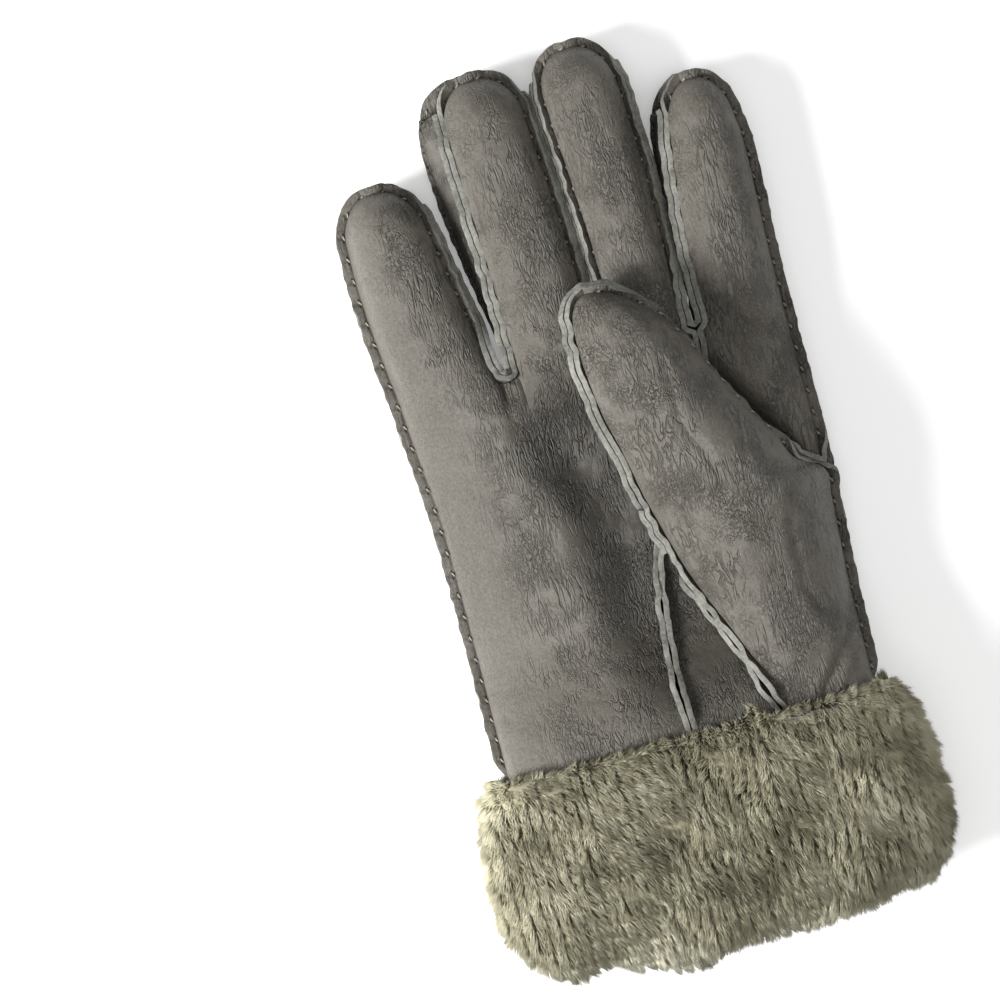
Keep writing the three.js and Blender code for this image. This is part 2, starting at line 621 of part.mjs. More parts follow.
function makeThumbLeaf() {
  const sheet = new Sheet();
  const path = [];
  const last = LEAF.at(-1).row;
  const stations = [];
  for (let row = LEAF[0].row; row <= last; row += 1) {
    stations.push(row);
  }
  const rows = stations.map((row) => {
    const points = [];
    for (let cell = 0; cell <= LEAF_CELLS; cell += 1) {
      points.push(sheet.add(leafPoint(row, cell / LEAF_CELLS)));
    }
    return points;
  });
  sheet.weave(rows);
  stations.forEach((row, j) => path.push({ id: rows[j][0], row, side: 'left', ...leafFlange('left', row) }));
  for (let cell = 1; cell < LEAF_CELLS; cell += 1) {
    path.push({ id: rows.at(-1)[cell], row: last, side: 'tip', cell, ...leafFlange('tip', last) });
  }
  [...stations].reverse().forEach((row, k) => (
    path.push({ id: rows.at(-1 - k).at(-1), row, side: 'right', ...leafFlange('right', row) })));
  sheet.flange(path);
  return { sheet, path };
}

// The underside of the thumb, sewn to the leaf round its sides and tip
function makeThumbUnderside(leafPath) {
  const sheet = new Sheet();
  const last = LEAF.at(-1).row;
  const stops = leafPath.filter((stop) => stop.side === 'tip' || stop.row >= THUMB_BASE_ROW);
  const seats = stops.map((stop) => stop.root.clone().setZ(stop.root.z - THUMB_PAIR));
  const rows = [];
  for (let row = THUMB_BASE_ROW; row <= last; row += 1) {
    const step = row - THUMB_BASE_ROW;
    const left = seats[step];
    const right = seats.at(-1 - step);
    const points = [];
    for (let cell = 0; cell <= LEAF_CELLS; cell += 1) {
      const share = cell / LEAF_CELLS;
      const point = row === last ? seats[step + cell].clone() : left.clone().lerp(right, share);
      const sag = THUMB_DEPTH * Math.max(0, 1 - (2 * share - 1) ** 2) ** 0.7 * smooth(last, last - 2, row);
      const rest = palmDome(point.x, point.y) + THUMB_CLEARANCE;
      if (cell > 0 && cell < LEAF_CELLS) {
        point.z = row === THUMB_BASE_ROW ? rest : Math.max(point.z - sag, rest);
      }
      points.push(sheet.add(point));
    }
    rows.push(points);
  }
  sheet.weave(rows);
  const around = rows.map((row) => row[0]).concat(rows.at(-1).slice(1, -1));
  const ids = around.concat([...rows].reverse().map((row) => row.at(-1)));
  sheet.flange(stops.map(({ lean, length, rise, beside }, k) => (
    { id: ids[k], lean, length, rise, beside })));
  return sheet;
}

// The forked side strip between two fingers: down one finger's side, round the parting and up the other's
function makeSideStrip(palmSides, backSides) {
  const sheet = new Sheet();
  const rows = [];
  palmSides.forEach((palm, k) => {
    const back = backSides[k];
    const upper = (point) => point.clone().addScaledVector(palm.beside, PAIR);
    const over = back.beside.clone().negate();
    const lower = (point) => point.clone().addScaledVector(over, PAIR);
    const bulge = palm.outward.clone().multiplyScalar(STRIP_BULGE);
    const middle = upper(palm.root).lerp(lower(back.root), 0.5).add(bulge);
    rows.push([upper(palm.edge), upper(palm.root), middle, lower(back.root), lower(back.edge)]
      .map((point) => sheet.add(point)));
  });
  sheet.weave(rows);
  return sheet;
}

function sideStops(paths, name, next) {
  const along = (finger, side, from) => paths.flat().filter((stop) => (
    stop.name === finger && stop.side === side && stop.y >= from
    && tipShare(finger, stop.y) < STRIP_END_SHARE));
  return along(name, 'right', CROTCHES[name]).concat(along(next, 'left', CROTCHES[name]));
}

// A point on the wrist's flattened round, a distance outside the hide; turn runs round it from 0 to 1
function wristRound(turn, out) {
  const angle = 2 * Math.PI * turn;
  const round = (value) => Math.sign(value) * Math.abs(value) ** (2 / 3);
  return {
    x: CUFF_MIDDLE_X + (WRIST_HALF_WIDTH + out) * round(Math.cos(angle)),
    z: CUFF_Z + (WRIST_HALF_HEIGHT + PAIR / 2 + out * PILE_FLATTENING) * round(Math.sin(angle)),
  };
}

// Turns at even distances round the cuff, so that all locks are as wide
function evenTurns(count) {
  const steps = 2400;
  const lengths = [0];
  for (let i = 1; i <= steps; i += 1) {
    const a = wristRound((i - 1) / steps, CUFF_PILE);
    const b = wristRound(i / steps, CUFF_PILE);
    lengths.push(lengths[i - 1] + Math.hypot(b.x - a.x, b.z - a.z));
  }
  const turns = [];
  for (let i = 0, step = 0; i <= count; i += 1) {
    while (step < steps && lengths[step] < (lengths[steps] * i) / count) {
      step += 1;
    }
    turns.push(step / steps);
  }
  return turns;
}

// The folded cuff: a ring of fleece whose outer face is parted into slanting locks
function makeCuff() {
  const positions = [];
  const triangles = [];
  const count = CUFF_SECTION.length;
  const fine = evenTurns(CUFF_SEGMENTS * LOCK_SLANT_STEPS);
  for (let i = 0; i < CUFF_SEGMENTS; i += 1) {
    CUFF_SECTION.forEach((stop, j) => {
      const drift = LOCK_SLANT * (CUFF_TOP_Y - stop.y) * stop.lock;
      const step = Math.round((i - drift) * LOCK_SLANT_STEPS);
      const turn = fine[(step + fine.length - 1) % (fine.length - 1)];
      const ridge = i % 2 === 0 ? 1 : -1;
      const stagger = Math.cos((Math.PI * (j + 2 * (Math.floor(i / 2) % 2))) / 2);
      const relief = LOCK_DEPTH * (0.6 * ridge + 0.4 * stagger) - LOCK_DEPTH * 0.6;
      const { x, z } = wristRound(turn, stop.out + stop.lock * relief);
      positions.push(x, stop.y, Math.max(z, 0));
    });
  }
  for (let i = 0; i < CUFF_SEGMENTS; i += 1) {
    const next = ((i + 1) % CUFF_SEGMENTS) * count;
    for (let j = 0; j < count; j += 1) {
      const k = (j + 1) % count;
      const [a, b, c, d] = [i * count + j, next + j, next + k, i * count + k];
      triangles.push(a, b, c, a, c, d);
    }
  }
  return solidGeometry(positions, triangles);
}

function makeMesh(name, geometry, colour, roughness) {
  const material = new THREE.MeshStandardMaterial({ color: colour, roughness, metalness: 0 });
  const mesh = new THREE.Mesh(geometry, material);
  mesh.name = name;
  return mesh;
}

const glove = new THREE.Group();
const palm = makePalmPanel();
const back = makeBackPanel();
const index = makeIndexPanel();
const thumbLeaf = makeThumbLeaf();
glove.add(makeMesh('palm_panel', palm.sheet.solid(HIDE), HIDE_COLOUR, 0.62));
glove.add(makeMesh('back_panel', back.sheet.solid(HIDE), HIDE_COLOUR, 0.62));
glove.add(makeMesh('index_panel', index.sheet.solid(HIDE), HIDE_COLOUR, 0.62));
glove.add(makeMesh('thumb_leaf', thumbLeaf.sheet.solid(HIDE), HIDE_COLOUR, 0.62));
glove.add(makeMesh('thumb_underside', makeThumbUnderside(thumbLeaf.path).solid(HIDE), HIDE_COLOUR, 0.62));
for (const [name, next] of [['little', 'ring'], ['ring', 'middle'], ['middle', 'index']]) {
  const palmSides = sideStops([palm.path, index.path], name, next);
  const backSides = sideStops([back.path], name, next);
  const strip = makeSideStrip(palmSides, backSides);
  glove.add(makeMesh(`side_strip_${name}_${next}`, strip.solid(HIDE), EDGE_HIDE_COLOUR, 0.7));
}
glove.add(makeMesh('cuff_fleece', makeCuff(), FLEECE_COLOUR, 0.95));

// The glove stands on z = 0 with the middle of its box over the origin
const box = new THREE.Box3().setFromObject(glove);
const middle = box.getCenter(new THREE.Vector3());
glove.position.set(-middle.x, -middle.y, -box.min.z);
glove.updateMatrixWorld(true);

export default glove;
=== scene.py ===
"""Dresses the shearling glove: hide panels, raw seams, saddle stitches and the turned-back fleece cuff.

Lengths are millimetres in the pattern's own frame, +Y to the fingertips and +X to the thumb side, until a
piece is made. Then they become metres in the model's frame.
"""
import logging
import math
from dataclasses import dataclass, field
from enum import Enum
from typing import Callable, Sequence

import bpy
import numpy as np
from mathutils import Matrix, Vector
from mathutils.kdtree import KDTree


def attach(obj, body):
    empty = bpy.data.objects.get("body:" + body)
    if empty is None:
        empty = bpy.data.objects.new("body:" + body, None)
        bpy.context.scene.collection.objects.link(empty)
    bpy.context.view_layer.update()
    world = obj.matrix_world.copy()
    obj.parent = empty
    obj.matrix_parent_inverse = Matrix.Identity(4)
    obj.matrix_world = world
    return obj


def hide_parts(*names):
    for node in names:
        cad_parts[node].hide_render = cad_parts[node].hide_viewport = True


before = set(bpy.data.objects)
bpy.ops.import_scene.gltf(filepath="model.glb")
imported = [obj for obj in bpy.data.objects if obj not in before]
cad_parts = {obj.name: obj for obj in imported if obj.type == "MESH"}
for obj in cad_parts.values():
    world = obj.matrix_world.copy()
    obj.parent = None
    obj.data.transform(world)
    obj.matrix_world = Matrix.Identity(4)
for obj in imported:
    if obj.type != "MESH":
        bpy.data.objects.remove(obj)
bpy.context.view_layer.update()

LOG = logging.getLogger("glove")

Numbers = float | np.ndarray
Colour = tuple[float, float, float]
Line = Callable[[Numbers], Numbers]
Surface = Callable[[Numbers, Numbers], Numbers]

MM = 0.001
SHIFT = np.array([-1.82, -1.00, 0.0])  # from the pattern's frame to the middle of the model's box

HIDE = 1.7  # thickness of the hide with its nap
SEAM_GAP = 0.25  # air between the two hides of a seam
PAIR = HIDE + SEAM_GAP
OUTER_FLANGE = 3.4
OUTER_LEAN = 2.0  # degrees that the outer seam allowances stand over the level
INNER_FLANGE = 3.0
HIDDEN_FLANGE = 0.6
BACK_FLANGE_SHARE = 0.6  # width of the back's inner allowances, as a share of the palm side's
BACK_LEAN = -16.0
PARTING_LEAN = 82.0  # degrees that the palm side's allowances stand up where two fingers part
QUIRK_LEAN = 70.0  # the same at the thumb's root
TIP_LEAN = 32.0  # the same at the thumb's tip
EDGE_Z = 10.0  # height of the outer side seams
PALM_SEAM_Z = 14.5
BACK_SEAM_Z = 5.0
FINGER_TOP = 21.5
TIP_ROUND = 12.5
CUFF_Z = 24.4
CUFF_MIDDLE_X = 2.0
WRIST_HALF_WIDTH = 56.0
WRIST_HALF_HEIGHT = 11.6
WRIST_BLEND = (-36.0, -73.0)  # between these the lying hand rises into the wrist's round
FINGER_BLEND = (62.0, 18.0)  # between these a finger's own round goes over into the palm
SLIT_BLEND = (43.0, 46.0)  # between these the seam across the palm opens into the side strip
PANEL_END_Y = -104.0
CUFF_TOP_Y = -74.0
CUFF_LENGTH = 62.0
FINGER_ROOT_Y = 44.0
FREE_FINGER_Y = 60.0
STITCH_PITCH = 6.7
STITCH_OVER = 0.9  # distance of the thread from the seam line
STITCH_HALF = 0.85  # half the length of thread between two needle holes

STEP_ALONG = 1.2  # spacing of the mesh along the hand
LANE_CELLS = 26  # faces across one finger
WEB_CELLS = 6
FLANGE_CELLS = 4
TURN_REACH = 1.8  # distance over which an edge's direction is taken
TIP_CUT = 0.45  # share of a fingertip's rounding at which the side strips end
NEAR_ZERO = 1e-6
COVER_BLEND = (-74.0, -66.0)  # between these the cuff covers the seams
BACK_TURN = 0.72  # share of the hand's half width past which the back turns up to the seams
TIP_DOME = 0.985  # how far a finger's round comes down at its tip
TIP_NARROWING = 0.93  # how much narrower its outline gets there
SLIT_HALF_AT_STRIP = 3.5  # half the slit between the palm panels, where the side strip starts
WEB_SAG = 1.6  # how far the webs between fingers sag at their edge
INDEX_WEB_SAG = 2.6
WEB_REACH = 9.0  # length of a web that sags


class Face(Enum):
    """The two faces of the hand."""

    PALM = "palm"
    BACK = "back"


class Side(Enum):
    """The three runs of a finger's outline."""

    LEFT = "left"
    RIGHT = "right"
    TIP = "tip"


@dataclass(frozen=True)
class Finger:
    """One finger's outline at its stitch lines.

    Rows hold the place along the hand, then left and right of the palm side, then left and right of the back.
    """

    tip: float
    inner_left: bool
    inner_right: bool
    lean_left: float
    lean_right: float
    rows: tuple[tuple[float, float, float, float, float], ...]


FINGERS: dict[str, Finger] = {
    "little": Finger(107.0, False, True, 2, 34, (
        (44, -57, -27.0, -57, -27.2), (60, -58.7, -30, -58.7, -29.2), (77, -60, -33.2, -60, -32.2),
        (95, -60, -36, -60, -34.8), (107, -59.5, -38, -59.5, -37))),
    "ring": Finger(132.5, True, True, 76, 40, (
        (44, -20.9, 4.4, -20.8, 4.7), (60, -20.8, 4.5, -22, 4.8), (77, -21, 4.2, -25, 4.6),
        (95, -21.8, 3.2, -27.4, 3.7), (112, -22.3, 2, -28.6, 2.5), (132.5, -22.5, 1, -28, 1.4))),
    "middle": Finger(134.5, True, True, 42, 40, (
        (44, 11.5, 31.5, 11.2, 31.7), (60, 11.6, 31.6, 11.3, 31.8), (77, 11.3, 32.2, 10.9, 32.4),
        (95, 10.4, 32.4, 9.9, 32.7), (112, 9.3, 31.8, 8.8, 32.2), (134.5, 8.4, 30.4, 8, 30.8))),
    "index": Finger(116.0, True, False, 76, 2, (
        (44, 38.5, 62.5, 38.3, 62.5), (60, 38.7, 62.6, 38.3, 62.6), (77, 39.4, 63.3, 38.4, 63.3),
        (95, 41.6, 63.7, 39, 63.7), (105, 43.3, 62.8, 40.2, 62.8), (116, 45, 62, 42.4, 62))),
}
FINGER_NAMES = ("little", "ring", "middle", "index")
CROTCHES = {"little": 44.0, "ring": 60.0, "middle": 44.0}

# How few creases each finger has on its left half, from 0 for many to 1 for none
CALM_SHARES = {"little": 1.0, "ring": 0.5, "middle": 0.4, "index": 0.4}

# Body of the hand: place along it, outer stitch lines, the seam across the palm and the crown of the palm
BODY = (
    (-104, -54, 58, 2, 13), (-73, -54, 58, 1.8, 13), (-58, -54, 58.8, 1.2, 14), (-40, -54, 60.2, 3, 14.5),
    (-25, -54, 61.2, 5.2, 13.5), (-16, -54, 61.8, 8.5, 12.5), (-6, -54, 62.2, 15, 11.8),
    (10, -54.3, 62.5, 24.6, 11.5), (24, -55.5, 62.5, 31.4, 11.5), (34, -56.4, 62.5, 34.6, 11.5),
    (44, -57, 62.5, 35, 11.5),
)

# Thumb leaf: row, left x and y, right x and y, heights of both seams and the swell between them
LEAF = (
    (-2, 31.5, -104, 58, -104, 30, 24, 5), (-1, 31.2, -88, 58, -88, 30, 24, 5),
    (0, 30.5, -73, 58, -73, 30, 24, 5), (1, 28.4, -66, 58.3, -66, 30, 22, 7),
    (2, 25.1, -56, 58.9, -56, 29, 18, 11.5), (3, 21.2, -46, 59.7, -46, 28, 14, 16),
    (4, 17, -36, 60.4, -36, 24, 12, 20), (5, 13.2, -26, 61.1, -26, 20, 11, 22.5),
    (6, 10.4, -16.5, 61.7, -16, 19, 11, 23.6), (7, 8, -7.5, 62, -8, 20, 11, 22.6),
    (8, 6, 0, 52, -2.4, 23, 23.4, 19.6), (9, 3.5, 12, 44.5, 6, 28, 28, 15.6),
    (10, 0.5, 24, 37, 18, 31, 31, 12.8), (11, -1, 36, 31, 30, 32, 32, 11.5),
    (12, -1.5, 46, 26, 40, 31.5, 31.5, 11), (13, -0.8, 54, 20.4, 49, 31, 31, 9.5),
    (14, 1.6, 58.4, 15.4, 55.8, 30.5, 30.5, 6), (15, 5, 60.5, 11, 59.6, 30, 30, 1.5),
)

# Creases of the thumb leaf: places that each runs through, its depth and its breadth
LEAF_CREASES = (
    (((21, 35), (22, 15), (27, 5), (29, -2), (28, -12)), 0.42, 1.1),
    (((30, -10), (35, -17), (45, -19)), 0.42, 1.0),
    (((37, 15), (37, 0)), 0.35, 1.0),
    (((45, -20), (45, -40), (48, -48)), 0.5, 1.2),
    (((48, -10), (46, -20)), 0.4, 1.1),
    (((60, -45), (50, -62), (42, -72)), 0.8, 1.4),
)

# Index panel below the finger: nominal y, y and x of its right edge, and how far that edge bows up
TAIL = (
    (-104, -104, 29.2, 0), (-88, -88, 28.8, 0), (-73, -73, 28.1, 0), (-66, -66, 26.2, 0),
    (-56, -56, 23.5, 0), (-46, -46, 19.6, 0), (-36, -36, 15.4, 0), (-26, -26.5, 11.6, 0),
    (-21, -20.5, 20, 0), (-16, -14.5, 31, 0), (-11, -8, 42, 0), (-6, 0.3, 52.5, 0), (-1, -5.2, 62.3, 12),
)

# Trough in which the thumb lies: place along the hand, its left and right sides and its depth
TROUGH = (
    (-84, 2, 30, 0), (-73, 3, 30, 1.2), (-60, 3, 34, 3.5), (-45, 0, 42, 5.5), (-30, -1, 50, 7.5),
    (-15, -2, 54, 7.8), (-5, -3, 53, 7.8), (5, -6, 49, 7.8), (15, -10, 43, 7.5), (25, -12, 38, 6.5),
    (36, -10, 32, 3.5), (48, -8, 28, 0),
)
TROUGH_SLOPE = 20.0
TROUGH_BANK = 8.0

# Section of the cuff: place along the hand, distance outside the wrist hide, how much the wool stands out
CUFF_SECTION = (
    (-74.5, 1.7, 0.0), (-73.5, 4.6, 0.4), (-76, 8.4, 0.8), (-81, 11, 1), (-88, 12.4, 1), (-95, 13, 1),
    (-102, 13.5, 1), (-109, 13.8, 1), (-116, 13.9, 1), (-123, 13.2, 1), (-129, 11.4, 1),
    (-133.5, 8, 1), (-136, 3.8, 0.9), (-136, 0.2, 0.7), (-133, -2.6, 0.6), (-127, -4, 0.5),
    (-118, -4.4, 0.4), (-109, -3.6, 0.2), (-106.2, -1.6, 0), (-106, 1.2, 0), (-96, 1.7, 0), (-85, 1.7, 0),
)

# Lower outline of the cuff: sideways place and how far down its tips reach
CUFF_LOW = (
    (-72, -124), (-60, -130), (-50, -133), (-40, -131.5), (-30, -134), (-20, -137), (-12, -137.5), (0, -135),
    (30, -135.5), (40, -133.5), (50, -132), (60, -131.5), (74, -127),
)


def mix(low: Numbers, high: Numbers, share: Numbers) -> Numbers:
    """Returns the value between low and high at a share."""
    return low + (high - low) * share


def smooth(start: Numbers, end: Numbers, value: Numbers) -> Numbers:
    """Returns a soft step from 0 at start to 1 at end."""
    share = np.clip((np.asarray(value, float) - start) / (end - start), 0.0, 1.0)
    return share * share * (3.0 - 2.0 * share)


def padded(share: Numbers, power: float = 2.4) -> Numbers:
    """Returns the height of a padded section, 1 in its middle and 0 where the share is -1 or 1."""
    return np.maximum(0.0, 1 - np.abs(share) ** power) ** 0.6


def unit(vectors: np.ndarray) -> np.ndarray:
    """Returns rows of x, y, z brought to length 1."""
    return vectors / np.maximum(np.linalg.norm(vectors, axis=1, keepdims=True), 1e-9)


def at_distances(values: np.ndarray, along: np.ndarray, distances: np.ndarray) -> np.ndarray:
    """Returns rows of values at distances along the line that they belong to."""
    return np.stack([np.interp(distances, along, column) for column in values.T], axis=1)


class Curve:
    """A smooth curve through one column of a table."""

    def __init__(self, rows: Sequence[Sequence[float]], column: int) -> None:
        """Keeps the places in the rows' first column and the values in the given column.

        Args:
            rows: The table's rows.
            column: The column of values.
        """
        self.places = np.array([row[0] for row in rows], float)
        self.values = np.array([row[column] for row in rows], float)
        last = len(rows) - 1
        before = np.maximum(np.arange(last + 1) - 1, 0)
        after = np.minimum(np.arange(last + 1) + 1, last)
        self.slopes = (self.values[after] - self.values[before]) / (self.places[after] - self.places[before])

    def __call__(self, place: Numbers) -> Numbers:
        """Returns the curve's value at a place, which runs level past its ends.

        Args:
            place: Place in the table's first column.
        """
        place = np.asarray(place, float)
        i = np.clip(np.searchsorted(self.places, place, side="right") - 1, 0, len(self.places) - 2)
        step = self.places[i + 1] - self.places[i]
        t = np.clip((place - self.places[i]) / step, 0.0, 1.0)
        start = step * self.slopes[i] * t * (1 - t) ** 2
        end = step * self.slopes[i + 1] * t * t * (t - 1)
        return mix(self.values[i], self.values[i + 1], t * t * (3 - 2 * t)) + start + end


def curves(rows: Sequence[Sequence[float]]) -> list[Curve]:
    """Returns a curve for each column of a table after its first."""
    return [Curve(rows, column) for column in range(1, len(rows[0]))]


body_left, body_right, body_seam, body_crown = curves(BODY)
OUTLINES = {name: {Face.PALM: lines[:2], Face.BACK: lines[2:]}
            for name, lines in ((name, curves(finger.rows)) for name, finger in FINGERS.items())}
LEAF_CURVES = curves(LEAF)
TAIL_CURVES = curves(TAIL)
TROUGH_CURVES = curves(TROUGH)
cuff_low = curves(CUFF_LOW)[0]


def ripple(points: np.ndarray, size: float, seed: int) -> np.ndarray:
    """Returns a smooth repeatable noise between about -1 and 1.

    Args:
        points: Places, the last axis being x, y, z.
        size: Usual distance between two crests.
        seed: Number that picks the pattern.
    """
    draw = np.random.default_rng(seed)
    total = np.zeros(points.shape[:-1])
    for _ in range(7):
        way = draw.normal(size=3)
        way *= 2 * math.pi / size * draw.uniform(0.6, 1.5) / np.linalg.norm(way)
        total += np.sin(points @ way + draw.uniform(0, 2 * math.pi))
    return total / 3.2


def tip_share(name: str, y: Numbers) -> Numbers:
    """Returns how far a place has come into a fingertip's rounding, 0 at its start and 1 at the tip."""
    return (np.asarray(y, float) - FINGERS[name].tip + TIP_ROUND) / TIP_ROUND


def wrist_height(x: Numbers, side: float) -> Numbers:
    """Returns the height of the wrist hide inside the cuff, for the upper (1) or lower (-1) side."""
    across = np.minimum(np.abs(np.asarray(x, float) - CUFF_MIDDLE_X) / WRIST_HALF_WIDTH, 1.0)
    return CUFF_Z + side * (PAIR / 2 + WRIST_HALF_HEIGHT * np.cbrt(1 - across ** 3))


def edge_height(y: Numbers) -> Numbers:
    """Returns the height of the outer side seams."""
    return mix(EDGE_Z, CUFF_Z, smooth(*WRIST_BLEND, y))


def across_hand(x: Numbers, y: Numbers) -> Numbers:
    """Returns the place between the outer side seams, from -1 to 1."""
    return 2 * (x - body_left(y)) / (body_right(y) - body_left(y)) - 1


def palm_dome(x: Numbers, y: Numbers) -> Numbers:
    """Returns the palm's height at a place, with the trough in which the thumb lies.

    Args:
        x: Sideways place.
        y: Place along the hand.
    """
    lying = EDGE_Z + PAIR / 2 + body_crown(y) * padded(across_hand(x, y), 2.5)
    left, right, depth = (curve(y) for curve in TROUGH_CURVES)
    slope = smooth(left - TROUGH_SLOPE, left, x)
    bank = smooth(right + TROUGH_BANK, right, x)
    return mix(lying, wrist_height(x, 1), smooth(*WRIST_BLEND, y)) - depth * slope * bank


def back_floor(x: Numbers, y: Numbers) -> Numbers:
    """Returns the height of the hand's back, which lies flat and turns up at its sides.

    Args:
        x: Sideways place.
        y: Place along the hand.
    """
    rise = EDGE_Z - PAIR / 2 - HIDE / 2
    lying = HIDE / 2 + rise * smooth(BACK_TURN, 1, np.abs(across_hand(x, y))) ** 1.2
    return mix(lying, wrist_height(x, -1), smooth(*WRIST_BLEND, y))


def finger_height(name: str, face: Face, u: Numbers, y: Numbers) -> Numbers:
    """Returns the height of a finger's palm side or back.

    Args:
        name: The finger.
        face: The palm side or the back.
        u: Place across it, from -1 at the left seam to 1 at the right seam.
        y: Place along the hand.
    """
    finger = FINGERS[name]
    share = tip_share(name, y)
    close = smooth(-0.5, 0.9, share)
    side = PALM_SEAM_Z if face is Face.PALM else BACK_SEAM_Z
    outer = EDGE_Z + (PAIR / 2 if face is Face.PALM else -PAIR / 2)
    left = mix(side, outer, close) if finger.inner_left else outer
    right = mix(side, outer, close) if finger.inner_right else outer
    seam = mix(left, right, (u + 1) / 2)
    if face is Face.PALM:
        closing = np.sqrt(np.maximum(0.0, 1 - TIP_DOME * np.maximum(share, 0.0) ** 2))
        return seam + (FINGER_TOP - seam) * padded(u) * closing
    rise = mix(smooth(0.5, 1, np.abs(u)), 1.0, smooth(0.35, 1, share))
    return mix(HIDE / 2, seam, rise)


def column_x(name: str, face: Face, u: Numbers, y: Numbers, edges: tuple[Line, Line]) -> Numbers:
    """Returns the sideways place of a finger's column, which below the fingers shares the hand's width.

    Args:
        name: The finger.
        face: The palm side or the back.
        u: Place across the column, from -1 to 1.
        y: Place along the hand.
        edges: The left and right edges of the panel below the fingers.
    """
    top = np.maximum(y, FINGER_ROOT_Y)
    left, right = (outline(top) for outline in OUTLINES[name][face])
    share = np.maximum(tip_share(name, top), 0.0)
    x = mix(left, right, (u * np.sqrt(1 - TIP_NARROWING * np.minimum(share, 1.0) ** 2) + 1) / 2)
    low_left, low_right = edges[0](FINGER_ROOT_Y), edges[1](FINGER_ROOT_Y)
    lower = mix(edges[0](y), edges[1](y), (x - low_left) / (low_right - low_left))
    return np.where(np.asarray(y) >= FINGER_ROOT_Y, x, lower)


def hand_stations(name: str, top: float = math.inf) -> np.ndarray:
    """Returns the places along one finger's column, closer together in the rounding of its tip.

    Args:
        name: The finger.
        top: Place above which there are none.
    """
    start = FINGERS[name].tip - TIP_ROUND
    runs = [np.array([PANEL_END_Y])]
    for low, high in ((PANEL_END_Y, FINGER_ROOT_Y), (FINGER_ROOT_Y, FREE_FINGER_Y), (FREE_FINGER_Y, start)):
        runs.append(np.linspace(low, high, round((high - low) / STEP_ALONG) + 1)[1:])
    runs.append(start + TIP_ROUND * np.sin(np.linspace(0, math.pi / 2, 16))[1:])
    stations = np.concatenate(runs)
    return stations[stations <= top + NEAR_ZERO]


# Seams and sheets

@dataclass
class Allowance:
    """A seam allowance as it lies: rows of places, the way along its stitch line, and its width."""

    rows: np.ndarray
    along: np.ndarray
    width: np.ndarray

    def part(self, chosen: np.ndarray) -> "Allowance":
        """Returns the chosen columns."""
        return Allowance(self.rows[:, chosen], self.along[chosen], self.width[chosen])


@dataclass
class Edge:
    """A run of a sheet's edge, with the seam allowance that is turned outwards along it.

    Attributes:
        points: Places along the edge, with the sheet on its right.
        lean: Degrees that the allowance stands over the level, at each place.
        length: Width of the allowance at each place.
    """

    points: np.ndarray
    lean: np.ndarray
    length: np.ndarray

    @staticmethod
    def chain(runs: Sequence["Edge"]) -> "Edge":
        """Returns runs of edge one after the other as one edge."""
        return Edge(*(np.concatenate([getattr(run, part) for run in runs])
                      for part in ("points", "lean", "length")))

    def part(self, chosen: np.ndarray | slice) -> "Edge":
        """Returns the chosen places of the edge."""
        return Edge(self.points[chosen], self.lean[chosen], self.length[chosen])

    def backwards(self) -> "Edge":
        """Returns the edge run the other way."""
        return self.part(slice(None, None, -1))

    def between(self, name: str, low: float = -math.inf) -> "Edge":
        """Returns the part above a place and below the rounding of a finger's tip."""
        y = self.points[:, 1]
        return self.part((y >= low - NEAR_ZERO) & (tip_share(name, y) < TIP_CUT))

    def along(self) -> np.ndarray:
        """Returns the distance of each place along the edge."""
        steps = np.linalg.norm(np.diff(self.points, axis=0), axis=1)
        return np.concatenate([[0.0], np.cumsum(steps)])

    def directions(self) -> tuple[np.ndarray, np.ndarray, np.ndarray]:
        """Returns for each place the way outwards, up the allowance, and square to it."""
        way = self.along()
        ahead, behind = (at_distances(self.points[:, :2], way, way + reach)
                         for reach in (TURN_REACH, -TURN_REACH))
        step = unit(ahead - behind)
        outward = np.stack([-step[:, 1], step[:, 0], np.zeros(len(step))], axis=1)
        lean = np.radians(self.lean)[:, None]
        up = np.array([0.0, 0.0, 1.0])
        rise = outward * np.cos(lean) + up * np.sin(lean)
        beside = outward * np.sin(lean) - up * np.cos(lean)
        return outward, rise, beside

    def allowance(self, beside_by: float = 0.0) -> Allowance:
        """Returns the allowance from the stitch line to the raw edge.

        Args:
            beside_by: How far it is moved square to itself, for the second hide of a seam.
        """
        _, rise, beside = self.directions()
        sway = 0.45 * ripple(self.points, 8.5, 5) + 0.16 * ripple(self.points, 3.6, 6)
        ragged = 0.25 * ripple(self.points, 5.5, 7) + 0.12 * ripple(self.points, 2.4, 8)
        rows = []
        for share in np.arange(FLANGE_CELLS + 1) / FLANGE_CELLS:
            up_by = self.length * share + ragged * share
            bend = beside_by + sway * share ** 1.5 * np.minimum(self.length / OUTER_FLANGE, 1.0)
            rows.append(self.points + rise * up_by[:, None] + beside * bend[:, None])
        return Allowance(np.array(rows), self.along(), self.length)


def outer_cover(y: Numbers) -> Numbers:
    """Returns 0 where the cuff covers the seams and 1 on the open hand."""
    return smooth(*COVER_BLEND, y)


